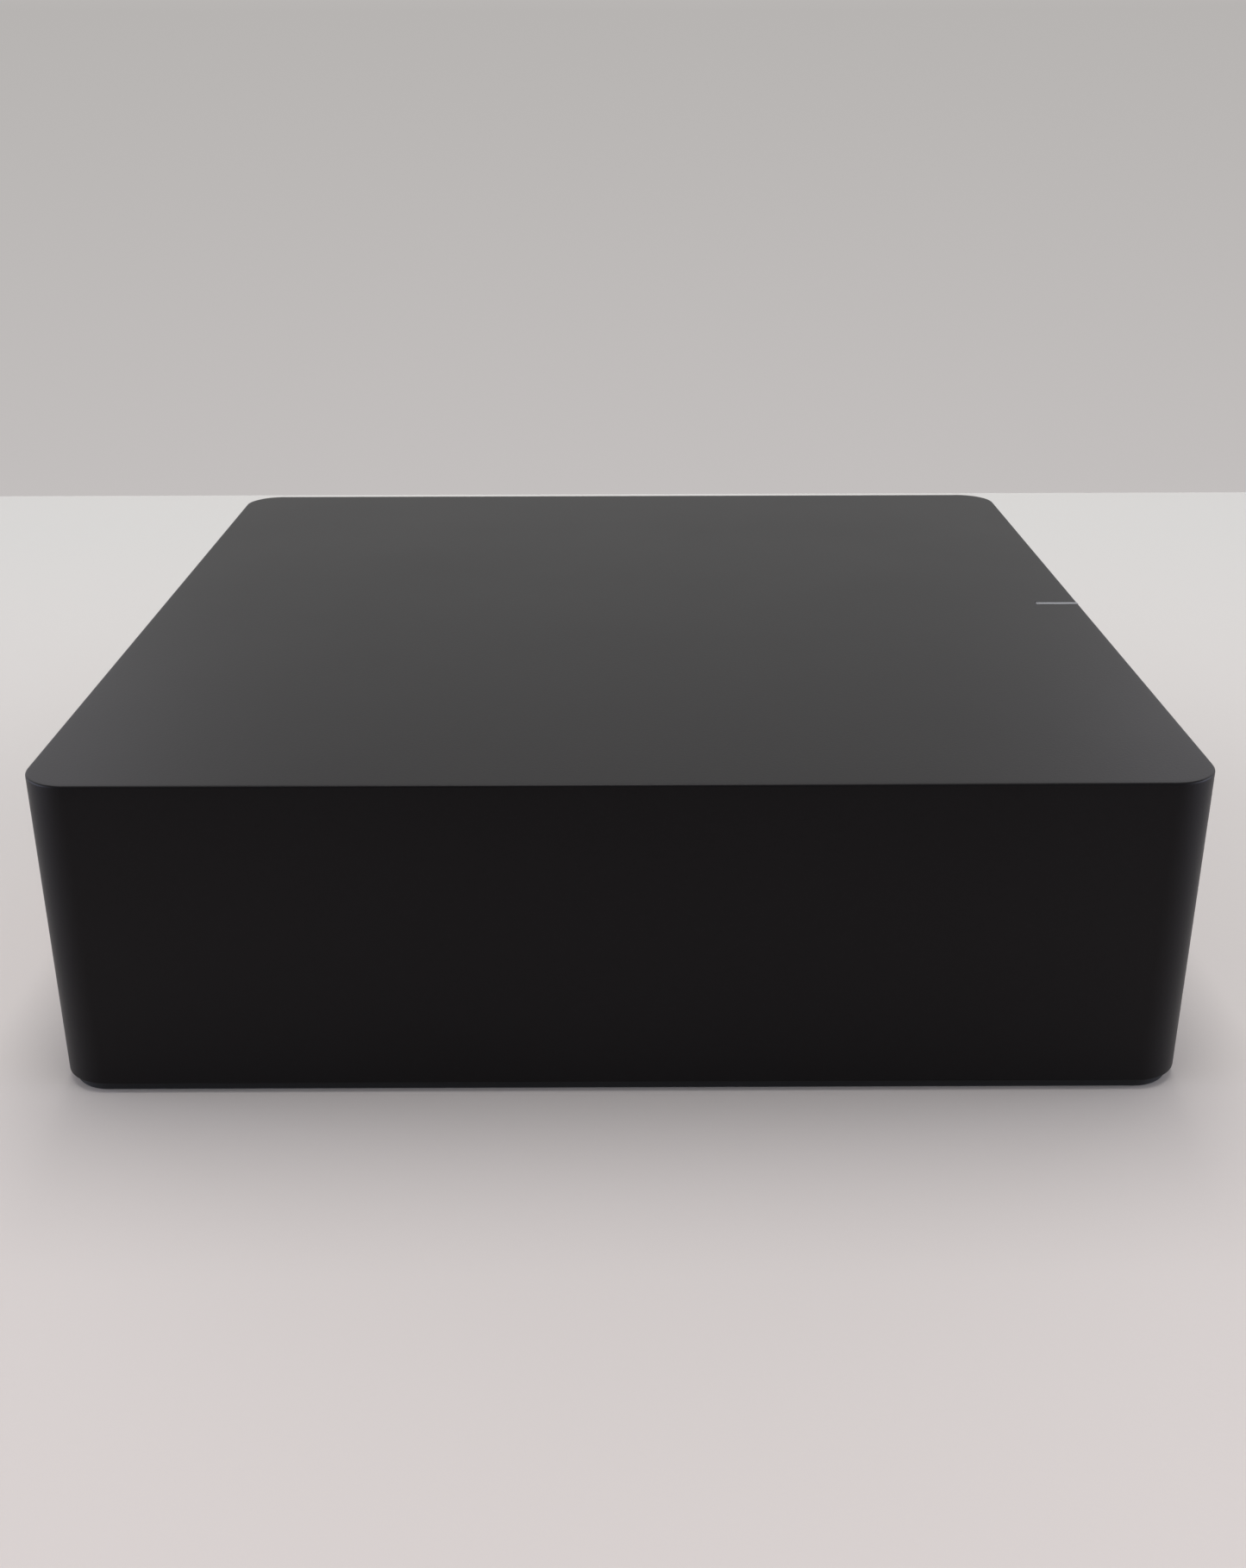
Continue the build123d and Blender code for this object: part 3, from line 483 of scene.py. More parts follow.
def shade(piece: Piece, angle: float = 32.0, weighted: bool = True) -> None:
    """Shade a piece smooth, with its edges past an angle left sharp.

    Args:
        piece: the piece.
        angle: degrees past which an edge is sharp.
        weighted: whether big faces keep their own normals beside small ones.
    """
    mesh = piece.data
    mesh.polygons.foreach_set("use_smooth", np.ones(len(mesh.polygons), bool))
    mesh.set_sharp_from_angle(angle=math.radians(angle))
    if weighted:
        modifier = piece.modifiers.new("weighted_normals", "WEIGHTED_NORMAL")
        modifier.keep_sharp = True
        modifier.weight = 90


def surface(name: str, grids: Array, ring: bool = False, weighted: bool = True) -> Piece:
    """Skin one or more grids of points, each closed round its second direction.

    A face joins (i, j), (i, j+1), (i+1, j+1) and (i+1, j). A grid closes on its first ring, or else its two end
    rings are filled, and rings that shrink to a point become poles.

    Args:
        name: the piece's name.
        grids: shapes by rings by points by three, or rings by points by three, in millimetres.
        ring: whether the last ring joins the first.
        weighted: whether big faces keep their own normals beside small ones.

    Returns:
        The new piece.
    """
    grids = np.asarray(grids, float)
    grids = grids[None] if grids.ndim == 3 else grids
    shapes, rings, sides, _ = grids.shape
    rows = rings if ring else rings - 1
    i, j = np.meshgrid(np.arange(rows), np.arange(sides), indexing="ij")
    k, after = (i + 1) % rings, (j + 1) % sides
    quads = np.stack([i * sides + j, i * sides + after, k * sides + after, k * sides + j], -1).reshape(-1, 4)
    starts = np.arange(shapes)[:, None, None] * rings * sides
    faces = (quads[None] + starts).reshape(-1, 4).tolist()
    if not ring:
        ends = np.stack([np.arange(sides)[::-1], np.arange(sides) + (rings - 1) * sides])
        open_ends = np.ptp(grids[0][[0, -1]], axis=1).max(-1) > 1e-6
        faces += (ends[open_ends][None] + starts).reshape(-1, sides).tolist()
    mesh = bpy.data.meshes.new(name)
    mesh.from_pydata((grids.reshape(-1, 3) * MM).tolist(), [], faces)
    heal(mesh)
    piece = link(name, mesh)
    shade(piece, weighted=weighted)
    return piece


def heal(mesh: bpy.types.Mesh) -> None:
    """Merge a closed mesh's doubled points and turn its faces outward.

    Args:
        mesh: the mesh, which is changed.
    """
    shell = bmesh.new()
    shell.from_mesh(mesh)
    bmesh.ops.remove_doubles(shell, verts=shell.verts, dist=1e-7)
    bmesh.ops.recalc_face_normals(shell, faces=shell.faces)
    shell.to_mesh(mesh)
    shell.free()


def cuboid(name: str, low: Point, high: Point) -> Piece:
    """A plain box between two corners, to cut with.

    Args:
        name: the piece's name.
        low: its lowest corner in millimetres.
        high: its highest corner in millimetres.

    Returns:
        The new piece.
    """
    (x0, y0, z0), (x1, y1, z1) = low, high
    base = np.array([(x0, y0), (x1, y0), (x1, y1), (x0, y1)], float)
    rings = np.stack([np.column_stack([base, np.full(4, z)]) for z in (z0, z1)])
    return surface(name, rings, weighted=False)


def combine(piece: Piece, tools: Sequence[Piece], how: Boolean) -> None:
    """Cut tools from a piece, or add them to it, and leave one plain mesh.

    Args:
        piece: the piece to change.
        tools: the shapes to cut or add, which are removed after it.
        how: whether they are cut or added.
    """
    piece.modifiers.clear()
    for tool in tools:
        tool.modifiers.clear()
        step = piece.modifiers.new(tool.name, "BOOLEAN")
        step.operation = how.value
        step.solver = "EXACT"
        step.object = tool
    bpy.context.view_layer.update()
    seen = piece.evaluated_get(bpy.context.evaluated_depsgraph_get())
    mesh = bpy.data.meshes.new_from_object(seen)
    piece.modifiers.clear()
    old = piece.data
    piece.data = mesh
    bpy.data.meshes.remove(old)
    for tool in tools:
        bpy.data.meshes.remove(tool.data)


def break_edges(piece: Piece, edge: float, steps: int, angle: float) -> None:
    """Shade a piece smooth and break its sharp edges with a small bevel.

    Args:
        piece: the piece.
        edge: the bevel's width in millimetres.
        steps: pieces across the bevel.
        angle: degrees past which an edge is bevelled.
    """
    shade(piece, weighted=False)
    bevel = piece.modifiers.new("broken_edges", "BEVEL")
    bevel.width = edge * MM
    bevel.segments = steps
    bevel.limit_method = "ANGLE"
    bevel.angle_limit = math.radians(angle)
    bevel.harden_normals = True


def refined(node: str, edge: float, steps: int = 3) -> Piece:
    """A merged copy of a CAD node with its sharp edges broken by a small bevel.

    Args:
        node: the CAD node.
        edge: the bevel's width in millimetres.
        steps: pieces across the bevel.

    Returns:
        The new piece, which stands for the node.
    """
    shell = bmesh.new()
    shell.from_mesh(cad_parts[node].data)
    bmesh.ops.remove_doubles(shell, verts=shell.verts, dist=2e-6)
    bmesh.ops.dissolve_limit(shell, angle_limit=math.radians(0.5), verts=shell.verts, edges=shell.edges)
    bmesh.ops.recalc_face_normals(shell, faces=shell.faces)
    mesh = bpy.data.meshes.new(f"{node}_finished")
    shell.to_mesh(mesh)
    shell.free()
    for stale in [a.name for a in mesh.attributes if a.name == "custom_normal"]:
        mesh.attributes.remove(mesh.attributes[stale])
    piece = link(f"{node}_finished", mesh)
    break_edges(piece, edge, steps, 40.0)
    return piece


def install(piece: Piece, finish: Finish, nodes: Sequence[str] = (), body: str = HOUSING) -> Piece:
    """Dress a new piece and the CAD nodes it stands for, and hang it on its body.

    Args:
        piece: the piece.
        finish: its finish.
        nodes: the CAD nodes it stands for.
        body: the body it moves with.

    Returns:
        The piece.
    """
    finish.dress(piece, *(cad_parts[node] for node in nodes))
    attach(piece, body)
    if nodes:
        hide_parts(*nodes)
    log.info("%s in %s", piece.name, finish.name)
    return piece


# ---------- studio


@dataclass
class Studio:
    """A pale floor, a pale grey surround, soft light from above, and the camera. Lengths are metres here."""

    camera_place: Point = (-0.24471, -0.00017, 0.11655)
    camera_down: float = 0.40542
    camera_turn: float = 0.00075
    camera_roll: float = -0.00302
    lens: float = 38.774
    floor_half: float = 0.241
    floor_front: float = 0.2
    # The floor's two tones, swept along X, are painted warm light on its near side, not the paper's own colour.
    floor_near_painted_warm_light: str = "d3cac6"
    floor_far: str = "c6c4c0"
    floor_painted_light_sweep: Pair = (-0.2, 0.2)
    wall_low: str = "c4c0bf"
    wall_level: str = "b7b4b2"
    wall_raised: str = "ebeae9"
    overhead: str = "8c8c8c"
    sky: Pair = (-0.25, 1.0)
    behind: Pair = (-0.95, -0.3)
    behind_rise: Pair = (-0.5, -0.38)
    behind_dark: float = 0.35
    beside: Pair = (0.25, 0.85)
    beside_bright: float = 1.45
    strip_watts: float = 4.1
    strip_place: Point = (0.13, 0.0, 0.75)
    strip_size: Pair = (0.8, 0.3)
    side_watts: float = 1.9
    side_place: Point = (-0.12, 0.6, 0.09)
    side_size: Pair = (0.5, 0.18)
    side_aim: float = 0.02
    side_colour: str = "d6e0ff"
    far_colour: str = "f6f4ff"
    far_watts: float = 0.34
    far_place: Point = (0.46, 0.42, 0.28)
    far_size: Pair = (0.4, 0.25)
    far_aim: float = 0.06

    def build(self) -> None:
        """Make the floor, the surround, the light and the camera."""
        self.floor()
        self.surround()
        self.lamps()
        self.camera()
        bpy.context.scene.view_settings.view_transform = "Standard"

    def floor(self) -> None:
        """A flat square sheet of matte paper, its tone painted warmer and lighter towards its near side as painted
        warm light.
        """
        half, near = self.floor_half, self.floor_front
        corners = [(-near, -half, 0), (half, -half, 0), (half, half, 0), (-near, half, 0)]
        mesh = bpy.data.meshes.new("studio_floor")
        mesh.from_pydata(corners, [], [(0, 1, 2, 3)])
        sheet = link("studio_floor", mesh)
        paper = Finish(
            "matte_paper", self.floor_near_painted_warm_light, self.floor_far, 0.9, 0.02, specular=0.2, grain_mm=0.8,
            relief_mm=0.01, sweep_m=self.floor_painted_light_sweep,
        )
        paper.dress(sheet)

    def surround(self) -> None:
        """A sky by direction: wall grey at eye level, paler above it and grey overhead.

        With (x, y, z) the direction, the tone runs through the stops as z crosses `sky`. It is then multiplied
        towards `behind_dark` as -x grows across `behind` and z across `behind_rise`, which dims what lies behind
        the camera, and towards `beside_bright` as y squared crosses `beside`, which brightens each side.
        """
        world = bpy.data.worlds.new("studio_surround")
        bpy.context.scene.world = world
        world.use_nodes = True
        tree = world.node_tree
        tree.nodes.clear()
        place = add_node(tree, "TexCoord")
        axes = add_node(tree, "SeparateXYZ", None, {"Vector": place.outputs["Generated"]})
        height = ranged(tree, axes.outputs["Z"], *self.sky, 0.0, 1.0)
        ramp = add_node(tree, "ValToRGB", None, {"Fac": height})
        stops = ramp.color_ramp.elements
        stops[0].color = linear(self.wall_low)
        stops[1].color = linear(self.overhead)
        tones = (
            (0.22, self.wall_level), (0.32, self.wall_raised), (0.62, self.wall_raised), (0.78, self.overhead)
        )
        for at, tone in tones:
            stops.new(at).color = linear(tone)
        behind = ranged(tree, axes.outputs["X"], *self.behind, 1.0, 0.0)
        risen = ranged(tree, axes.outputs["Z"], *self.behind_rise, 0.0, 1.0)
        dim = ranged(tree, product(tree, behind, risen), 0.0, 1.0, 1.0, self.behind_dark)
        across = product(tree, axes.outputs["Y"], axes.outputs["Y"])
        lift = ranged(tree, across, *self.beside, 1.0, self.beside_bright)
        sources = {0: ramp.outputs["Color"], "Scale": product(tree, dim, lift)}
        dimmed = add_node(tree, "VectorMath", {"operation": "SCALE"}, sources)
        back = add_node(tree, "Background", {"Strength": 1.0}, {"Color": dimmed.outputs["Vector"]})
        add_node(tree, "OutputWorld", None, {"Surface": back.outputs["Background"]})

    def lamps(self) -> None:
        """A soft strip overhead, and two pairs at the sides: low cool ones, and weak ones higher and further off."""
        x, y, z = self.strip_place
        self.lamp("soft_overhead", (x, y, z), (x, y, 0.0), self.strip_watts, self.strip_size, "ffffff")
        for name, place, aim, watts, size, colour in (
            ("soft", self.side_place, self.side_aim, self.side_watts, self.side_size, self.side_colour),
            ("soft_far", self.far_place, self.far_aim, self.far_watts, self.far_size, self.far_colour),
        ):
            for side, sign in (("left", 1), ("right", -1)):
                x, y, z = place
                self.lamp(f"{name}_{side}", (x, sign * y, z), (0.0, 0.0, aim), watts, size, colour)

    def lamp(self, name: str, place: Point, target: Point, watts: float, size: Pair, colour: str) -> None:
        """One rectangle of light, which lights the scene and isn't seen itself.

        Args:
            name: the light's name.
            place: its middle.
            target: what it faces.
            watts: its power.
            size: its width and height.
            colour: its colour.
        """
        data = bpy.data.lights.new(name, "AREA")
        data.shape = "RECTANGLE"
        data.size, data.size_y = size
        data.energy = watts
        data.color = linear(colour)[:3]
        lamp = link(name, data)
        lamp.matrix_world = look_at(Vector(place), Vector(target))
        lamp.visible_camera = False

    def camera(self) -> None:
        """The camera: on the player's left side, looking down at it."""
        data = bpy.data.cameras.new("camera")
        data.lens = self.lens
        data.clip_start = 0.01
        camera = link("camera", data)
        level = math.cos(self.camera_down)
        turn = self.camera_turn
        ahead = Vector((level * math.cos(turn), -level * math.sin(turn), -math.sin(self.camera_down)))
        right = ahead.cross(Vector((0, 0, 1))).normalized()
        up = right.cross(ahead)
        cosine, sine = math.cos(self.camera_roll), math.sin(self.camera_roll)
        right, up = cosine * right + sine * up, cosine * up - sine * right
        matrix = Matrix((right, up, -ahead)).transposed().to_4x4()
        matrix.translation = self.camera_place
        camera.matrix_world = matrix
        bpy.context.scene.camera = camera


def look_at(place: Vector, target: Vector) -> Matrix:
    """A matrix at one place whose -Z points at another.

    Args:
        place: where the object stands.
        target: what it faces.

    Returns:
        The object's world matrix.
    """
    matrix = (target - place).to_track_quat("-Z", "Y").to_matrix().to_4x4()
    matrix.translation = place
    return matrix


# ---------- sub-assemblies


def span(node: str) -> tuple[Array, Array]:
    """The box round a CAD node, in millimetres.

    Args:
        node: the CAD node.

    Returns:
        Its lowest and highest corners.
    """
    low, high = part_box(node)
    return np.array(low) / MM, np.array(high) / MM


def axis_at(low: Array, high: Array) -> list[Pair]:
    """Where the axis along Y stands in the middle of a box.

    Args:
        low: the box's lowest corner.
        high: its highest corner.

    Returns:
        One centre, as (X, Z).
    """
    return [((low[0] + high[0]) / 2, (low[2] + high[2]) / 2)]


def tube_line(low: Array, high: Array, bore: float, outside: Sequence[Pair]) -> list[Pair]:
    """The outline of a tube turned about an axis along Y, from inside its bore round to inside it again.

    Args:
        low: the tube's lowest corner.
        high: its highest corner.
        bore: the bore's radius.
        outside: the outline between the bore's back and front edges.

    Returns:
        Points of place along the axis and radius.
    """
    return [(low[1] + TUBE_START, bore), (low[1], bore), *outside, (high[1], bore), (low[1] + TUBE_END, bore)]


@dataclass
class Casing:
    """The top shell in one moulding, the base under it, the rubber foot and the light pipe in the roof."""

    corner: float = 5.8
    top_edge: float = 0.3
    low_edge: float = 0.15
    wall: float = 2.4
    roof: float = 2.6
    recess_side: float = 6.5
    recess_roof: float = 3.6
    ceiling_round: float = 0.6
    mould_edge: float = 0.12
    boss_radius: float = 4.0
    pilot_radius: float = 1.52
    boss_from_wall: float = 6.6
    boss_from_panel: float = 19.5
    boss_low: float = 6.0
    boss_into_roof: float = 0.8
    pilot_top: float = 14.0
    slot_half: float = 0.55
    slot_length: float = 6.35
    slot_deep: float = 1.5
    stem_half: float = 0.75
    stem_length: float = 2.5
    foot_inset: float = 0.8
    foot_edge: float = 0.3
    groove_inset: float = 5.0
    groove_width: float = 1.0
    groove_deep: float = 0.35

    def build(self) -> None:
        """Make and dress every piece of the casing."""
        install(self.shell(), TEXTURED_ABS, ["top_shell"])
        install(self.foot(), SILICONE, ["foot_pad"])
        install(refined("light_pipe", 0.1), SMOKED_ACRYLIC, ["light_pipe"])
        install(refined("base_cover", 0.2), PANEL_ABS, ["base_cover"])

    def shell(self) -> Piece:
        """The roof and walls.

        The skin is the rounded plate's rings carried up its softened side line. The cavity, the recess and the
        light pipe's slot are cut from it, and the four screw bosses are added.

        Returns:
            The shell.
        """
        low, high = span("top_shell")
        half = high[0]
        bottom = soften([(1.0, low[2]), (0.0, low[2]), (0.0, low[2] + 2.0)], self.low_edge)
        top = soften([(0.0, high[2] - 2.0), (0.0, high[2]), (1.0, high[2])], self.top_edge, 8)
        plan = ((0.0, 0.0), (half, half), (self.corner,) * 4)
        shell = surface("top_shell_moulding", plate_rings(*plan, np.concatenate([bottom, top])))
        combine(shell, [self.cavity(), self.recess(), *self.slot()], Boolean.CUT)
        combine(shell, [self.bosses()], Boolean.ADD)
        break_edges(shell, self.mould_edge, 2, 60.0)
        return shell

    def cavity(self) -> Piece:
        """The hollow inside, from below up to the ceiling, rounded where the ceiling meets the walls.

        Returns:
            The shape to cut.
        """
        low, high = span("top_shell")
        inner = high[0] - self.wall
        rear = span("rear_panel")[1][1]
        below, ceiling, inward = low[2] - 2, high[2] - self.roof, 4.0
        profile = soften([(0.0, below), (0.0, ceiling), (inward, ceiling)], self.ceiling_round)
        square, rounded = 0.3, self.corner - self.wall
        middle, reach = (rear - inner) / 2, (rear + inner) / 2
        rings = plate_rings((0.0, middle), (inner, reach), (square, square, rounded, rounded), profile)
        return surface("cavity", rings, weighted=False)

    def recess(self) -> Piece:
        """The space behind the rear panel, open behind and below.

        Returns:
            The shape to cut.
        """
        high = span("top_shell")[1]
        side, roof = high[0] - self.recess_side, high[2] - self.recess_roof
        inside, behind, below = span("rear_panel")[1][1] - 1, high[1] + 5, -2
        return cuboid("recess", (-side, inside, below), (side, behind, roof))

    def slot(self) -> list[Piece]:
        """The slot that holds the light pipe's bar, and the hole under it for the stem.

        Returns:
            The shapes to cut.
        """
        low, high = span("top_shell")
        end = low[1] + self.slot_length
        floor = high[2] - self.slot_deep
        bar = cuboid("slot", (-self.slot_half, low[1] - 1, floor), (self.slot_half, end, high[2] + 1))
        stem_low = (-self.stem_half, end - self.stem_length, high[2] - self.roof - 1)
        stem = cuboid("stem_hole", stem_low, (self.stem_half, end, floor + 0.01))
        return [bar, stem]

    def bosses(self) -> Piece:
        """Four posts with screw holes, hanging from the ceiling.

        Returns:
            The posts as one shape.
        """
        high = span("top_shell")[1]
        into_roof = high[2] - self.roof + self.boss_into_roof
        profile = [
            (self.pilot_top, 0.0),
            (self.pilot_top, self.pilot_radius),
            (self.boss_low, self.pilot_radius),
            (self.boss_low, self.boss_radius),
            (into_roof, self.boss_radius),
            (into_roof, 0.0),
        ]
        x = high[0] - self.wall - self.boss_from_wall
        rear = span("rear_panel")[0][1] - self.boss_from_panel
        spots = [(-x, -x), (x, -x), (-x, rear), (x, rear)]
        return surface("bosses", turned_rings(profile, spots, Axis.Z, 48), weighted=False)

    def foot(self) -> Piece:
        """The pad: rings of a rounded plate, from inside the groove, through it, and round the pad's edge.

        Returns:
            The pad.
        """
        low, high = span("foot_pad")
        deep = low[2] + self.groove_deep
        inner = self.groove_inset + self.groove_width
        line = [
            (inner + 4.0, low[2]), (inner, low[2]), (inner, deep), (self.groove_inset, deep),
            (self.groove_inset, low[2]), (0.0, low[2]), (0.0, high[2]), (3.0, high[2]),
        ]
        radii = (self.corner - self.foot_inset,) * 4
        rings = plate_rings((0.0, 0.0), (high[0], high[1]), radii, soften(line, self.foot_edge), least=1.0)
        return surface("foot_moulding", rings)


@dataclass
class RearPanel:
    """The flat panel the connectors come through, and its two screws."""

    edge: float = 0.2

    def build(self) -> None:
        """Finish the panel's edges and its screws."""
        install(refined("rear_panel", self.edge), PANEL_ABS, ["rear_panel"])
        install(refined("panel_screws", 0.08), BLACK_STEEL, ["panel_screws"])


@dataclass
class MainsInlet:
    """The figure-8 inlet and its two round pins."""

    edge: float = 0.35
    pin_radius: float = 1.18
    tip_round: float = 0.6

    def build(self) -> None:
        """Finish the moulding and turn the pins."""
        install(refined("power_inlet", self.edge, 4), NYLON_BLACK, ["power_inlet"])
        low, high = span("inlet_pins")
        line = [(low[1], 0.0), (low[1], self.pin_radius), (high[1], self.pin_radius), (high[1], 0.0)]
        z = (low[2] + high[2]) / 2
        centres = [(low[0] + self.pin_radius, z), (high[0] - self.pin_radius, z)]
        pins = surface("inlet_pins_turned", turned_rings(soften(line, self.tip_round, 8), centres, sides=40))
        install(pins, NICKEL, ["inlet_pins"])


@dataclass
class NetworkSocket:
    """One network socket: a sheet-metal shield, the moulding in it and its two light windows."""

    number: int
    window_width: float = 2.7
    window_height: float = 1.3
    window_from_side: float = 2.2
    window_from_top: float = 1.1
    window_round: float = 0.3
    window_proud: float = 0.03
    window_deep: float = 1.0
    window_edge: float = 0.12

    def build(self) -> None:
        """Finish the shield and the moulding, and fit the windows."""
        shield, insert = f"network_shield_{self.number}", f"network_insert_{self.number}"
        install(refined(shield, 0.07, 2), TINNED_STEEL, [shield])
        install(refined(insert, 0.18), NYLON_BLACK, [insert])
        low, high = span(insert)
        half = (self.window_width / 2, self.window_height / 2)
        z = high[2] - self.window_from_top
        reach = self.window_from_side
        for side, x, finish in (("right", low[0] + reach, WINDOW_GREEN), ("left", high[0] - reach, WINDOW_AMBER)):
            front = high[1] + self.window_proud
            flat = half[1] * 0.8
            line = soften([(0.0, front - self.window_deep), (0.0, front), (flat, front)], self.window_edge, 3)
            rings = plate_rings((x, z), half, (self.window_round,) * 4, line, least=0.05, steps=6)
            window = surface(f"network_{self.number}_window_{side}", rings[..., [0, 2, 1]])
            install(window, finish)


@dataclass
class PhonoJack:
    """One phono jack: a nickelled tube with a collar, and a coloured insulator with the plug's hole."""

    name: str
    colour: Finish
    slot: str
    radius: float = 4.15
    bore: float = 3.6
    collar: float = 4.9
    lip: float = 0.25
    hole: float = 1.6
    hole_depth: float = 10.0
    hole_lip: float = 0.35
    play: float = 0.05
    ring_inner: float = 2.15
    ring_outer: float = 2.95
    ring_deep: float = 0.22

    def build(self) -> None:
        """Turn the tube and the insulator."""
        barrel, insulator = f"{self.name}_barrel", f"{self.name}_insulator"
        low, high = span(barrel)
        centre = axis_at(low, high)
        face = span("rear_panel")[1][1]
        outside = [(low[1], self.collar), (face, self.collar), (face, self.radius), (high[1], self.radius)]
        tube = soften(tube_line(low, high, self.bore, outside), self.lip)
        turned = surface(f"{barrel}_turned", turned_rings(tube, centre), ring=True)
        install(turned, NICKEL, [barrel])
        back, front = span(insulator)[0][1], span(insulator)[1][1]
        core = self.bore - self.play
        deep, floor = front - self.ring_deep, front - self.hole_depth
        line = [
            (back, 0.0), (back, core), (front, core), (front, self.ring_outer), (deep, self.ring_outer),
            (deep, self.ring_inner), (front, self.ring_inner), (front, self.hole), (floor, self.hole), (floor, 0.0),
        ]
        moulded = surface(f"{insulator}_turned", turned_rings(soften(line, self.hole_lip), centre))
        install(moulded, self.colour, [insulator])


@dataclass
class TriggerJack:
    """The small jack: a turned metal sleeve in a moulded body."""

    radius: float = 3.0
    bore: float = 1.8
    lip: float = 0.4

    def build(self) -> None:
        """Turn the sleeve and finish the body."""
        low, high = span("trigger_bushing")
        centre = axis_at(low, high)
        line = tube_line(low, high, self.bore, [(low[1], self.radius), (high[1], self.radius)])
        sleeve = surface("trigger_bushing_turned", turned_rings(soften(line, self.lip), centre), ring=True)
        install(sleeve, NICKEL, ["trigger_bushing"])
        install(refined("trigger_jack", 0.2), NYLON_BLACK, ["trigger_jack"])


@dataclass
class JoinButton:
    """The pairing button: a dished cap, the collar that keeps it in, and a stem; with the switch it works."""

    radius: float = 3.0
    stem: float = 1.5
    collar: float = 3.8
    collar_back: float = 3.3
    collar_front: float = 2.1
    dish_radius: float = 2.15
    dish_deep: float = 0.125
    dish_steps: int = 8
    edge: float = 0.25

    def build(self) -> None:
        """Turn the button about its own axis, its dish a shallow bowl of depth d (1 - (r / R)^2)."""
        low, high = span("join_button")
        face = span("rear_panel")[1][1]
        back, front = face - self.collar_back, face - self.collar_front
        line = soften(
            [
                (low[1], 0.0), (low[1], self.stem), (back, self.stem), (back, self.collar), (front, self.collar),
                (front, self.radius), (high[1], self.radius), (high[1], self.dish_radius),
            ],
            self.edge,
        )
        r = np.linspace(self.dish_radius, 0, self.dish_steps + 1)[1:]
        dish = np.column_stack([high[1] - self.dish_deep * (1 - (r / self.dish_radius) ** 2), r])
        centre = axis_at(low, high)
        button = surface("join_button_turned", turned_rings(np.concatenate([line, dish]), centre, sides=72))
        install(button, BUTTON_ABS, ["join_button"], BUTTON)
        install(refined("button_switch", 0.2), NYLON_BLACK, ["button_switch"])


@dataclass
class CanCapacitors:
    """Upright cans in a shrunk sleeve, each with a scored metal end showing inside the sleeve's lip."""

    node: str
    count: int
    radius: float
    lip_part: float = 0.8
    sunk: float = 0.25
    lip_round: float = 0.5
    end_play: float = 0.05
    end_edge: float = 0.08

    def build(self) -> None:
        """Turn the sleeves and the can ends."""
        low, high = span(self.node)
        x = np.linspace(low[0] + self.radius, high[0] - self.radius, self.count)
        centres = np.column_stack([x, np.full(self.count, (low[1] + high[1]) / 2)])
        inner = self.radius * self.lip_part
        sleeve = [
            (low[2], 0.0), (low[2], self.radius), (high[2], self.radius), (high[2], inner),
            (high[2] - self.sunk, inner), (high[2] - self.sunk, 0.0),
        ]
        rings = turned_rings(soften(sleeve, self.lip_round), centres, Axis.Z, 64)
        install(surface(f"{self.node}_sleeves", rings), SLEEVE, [self.node])
        under, over = high[2] - 2 * self.sunk, high[2] - 0.6 * self.sunk
        reach = inner - self.end_play
        end = soften([(under, 0.0), (under, reach), (over, reach), (over, 0.0)], self.end_edge, 3)
        ends = surface(f"{self.node}_ends", turned_rings(end, centres, Axis.Z, 64))
        install(ends, CAN_END)


@dataclass
class LineChoke:
    """A ferrite ring lying on the board, wound with enamelled wire."""

    core: float = 1.45
    wire: float = 0.34
    turns: int = 26
    samples: int = 18
    wire_sides: int = 10

    def build(self) -> None:
        """Make the core and its winding.

        The core is the torus ((R + a cos v) cos u, (R + a cos v) sin u, a sin v). The wire's line is the same with
        a one wire radius larger and v = turns times u, and its tube is a circle square to that line.
        """
        low, high = span("line_choke")
        middle = (low + high) / 2
        tube = (high[2] - low[2]) / 2
        ring = (high[0] - low[0]) / 2 - tube
        u = np.linspace(0, 2 * math.pi, 96, endpoint=False)[:, None]
        v = np.linspace(0, 2 * math.pi, 32, endpoint=False)[None]
        grid = self.torus(ring, self.core, u, v) + middle
        install(surface("line_choke_core", grid, ring=True), FERRITE, ["line_choke"])
        s = np.linspace(0, 2 * math.pi, self.turns * self.samples, endpoint=False)
        reach = tube - self.wire
        path = self.torus(ring, reach, s, self.turns * s)
        away = path - self.torus(ring, 0.0, s, s)
        away /= np.linalg.norm(away, axis=1)[:, None]
        ahead = np.roll(path, -1, 0) - np.roll(path, 1, 0)
        across = np.cross(ahead, away)
        across /= np.linalg.norm(across, axis=1)[:, None]
        w = np.linspace(0, 2 * math.pi, self.wire_sides, endpoint=False)[None, :, None]
        wire = path[:, None] + self.wire * (np.cos(w) * away[:, None] + np.sin(w) * across[:, None])
        install(surface("line_choke_winding", wire + middle, ring=True), ENAMEL_COPPER)

    @staticmethod
    def torus(ring: float, tube: float, u: Array, v: Array) -> Array:
        """Points on a torus.

        Args:
            ring: the radius of its ring.
            tube: the radius of its tube.
            u: angles round the ring.
            v: angles round the tube.

        Returns:
            The points.
        """
        out = ring + tube * np.cos(v)
        return np.stack([out * np.cos(u), out * np.sin(u), tube * np.sin(v) * np.ones_like(u)], -1)


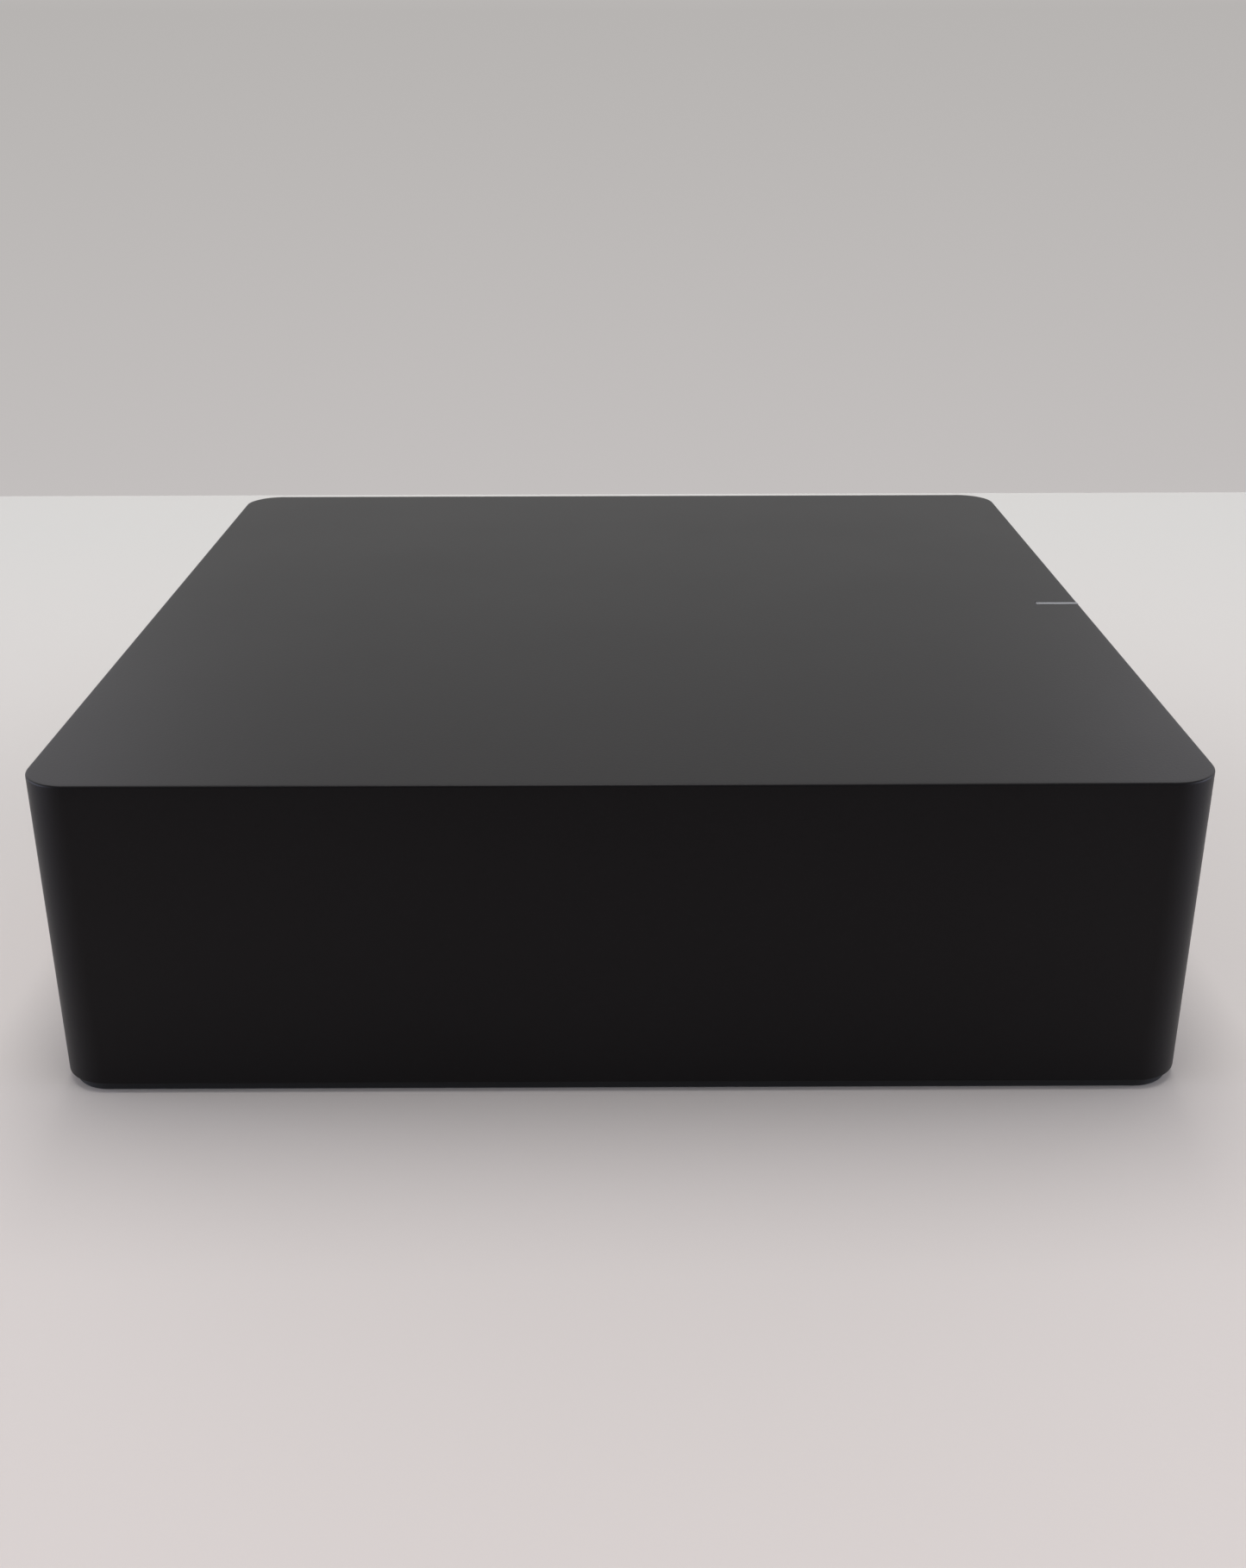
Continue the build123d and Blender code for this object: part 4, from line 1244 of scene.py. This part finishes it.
@dataclass
class Insides:
    """The boards, the power supply, the processor and the antennas, behind the panel and under the roof."""

    pieces: dict[str, tuple[Finish, str, float]] = field(
        default_factory=lambda: {
            "heat_spreader": (ALUMINIUM, "spreader_aluminium", 0.12),
            "processor_shield": (TINNED_STEEL, "can_steel", 0.1),
            "processor_chip": (EPOXY, "chip_epoxy", 0.1),
            "thermal_pad": (GAP_PAD, "pad_silicone", 0.1),
            "board_chips": (EPOXY, "chip_epoxy", 0.08),
            "board_screws": (ZINC_STEEL, "screw_steel", 0.08),
            "case_screws": (BLACK_STEEL, "screw_steel", 0.1),
            "digital_out_housing": (NYLON_BLACK, "connector_plastic", 0.2),
            "line_out_housing": (NYLON_BLACK, "connector_plastic", 0.2),
            "line_in_housing": (NYLON_BLACK, "connector_plastic", 0.2),
            "mains_fuse": (PHENOLIC, "fuse_plastic", 0.2),
            "filter_capacitor": (FILM_BOX, "filter_plastic", 0.4),
            "bridge_rectifier": (EPOXY, "chip_epoxy", 0.3),
            "transistor_heat_sink": (ALUMINIUM, "spreader_aluminium", 0.12),
            "switching_transistor": (EPOXY, "chip_epoxy", 0.25),
            "transformer_core": (FERRITE, "ferrite", 0.3),
            "transformer_winding": (WINDING_TAPE, "winding_tape", 0.9),
            "harness_plugs": (NYLON_NATURAL, "plug_nylon", 0.25),
            "status_led": (NYLON_WHITE, "led_plastic", 0.05),
        }
    )
    kept: dict[str, Finish] = field(
        default_factory=lambda: {
            "main_board": SOLDER_MASK,
            "power_board": SOLDER_MASK,
            "insulating_sheet": POLYESTER_FILM,
            "network_contacts": GOLD,
            "phono_contacts": GOLD,
            "switch_plunger": NYLON_NATURAL,
            "power_harness": PVC_RED,
            "left_antenna": COPPER_FILM,
            "front_antenna": COPPER_FILM,
            "antenna_leads": PVC_GREY,
        }
    )

    def build(self) -> None:
        """Finish the edges of the machined and moulded pieces, and dress the rest as they are."""
        for node, (finish, slot, edge) in self.pieces.items():
            install(refined(node, edge, 2), finish, [node])
        for node, finish in self.kept.items():
            finish.dress(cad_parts[node])
            log.info("%s in %s", node, finish.name)
        for node, count, radius in (
            ("signal_capacitors", 6, 2.5), ("output_capacitors", 2, 4.0), ("main_capacitor", 1, 8.0)
        ):
            CanCapacitors(node, count, radius).build()
        LineChoke().build()


def main() -> None:
    """Build the studio and the player, piece by piece."""
    parts = [Studio(), Casing(), RearPanel(), MainsInlet(), NetworkSocket(1), NetworkSocket(2)]
    for name, colour, slot in (
        ("digital_out", NYLON_ORANGE, "insulator_orange"),
        ("line_out_left", NYLON_WHITE, "insulator_white"),
        ("line_out_right", NYLON_RED, "insulator_red"),
        ("line_in_left", NYLON_WHITE, "insulator_white"),
        ("line_in_right", NYLON_RED, "insulator_red"),
    ):
        parts.append(PhonoJack(name, colour, slot))
    for part in (*parts, TriggerJack(), JoinButton(), Insides()):
        part.build()


if __name__ == "__main__":
    main()
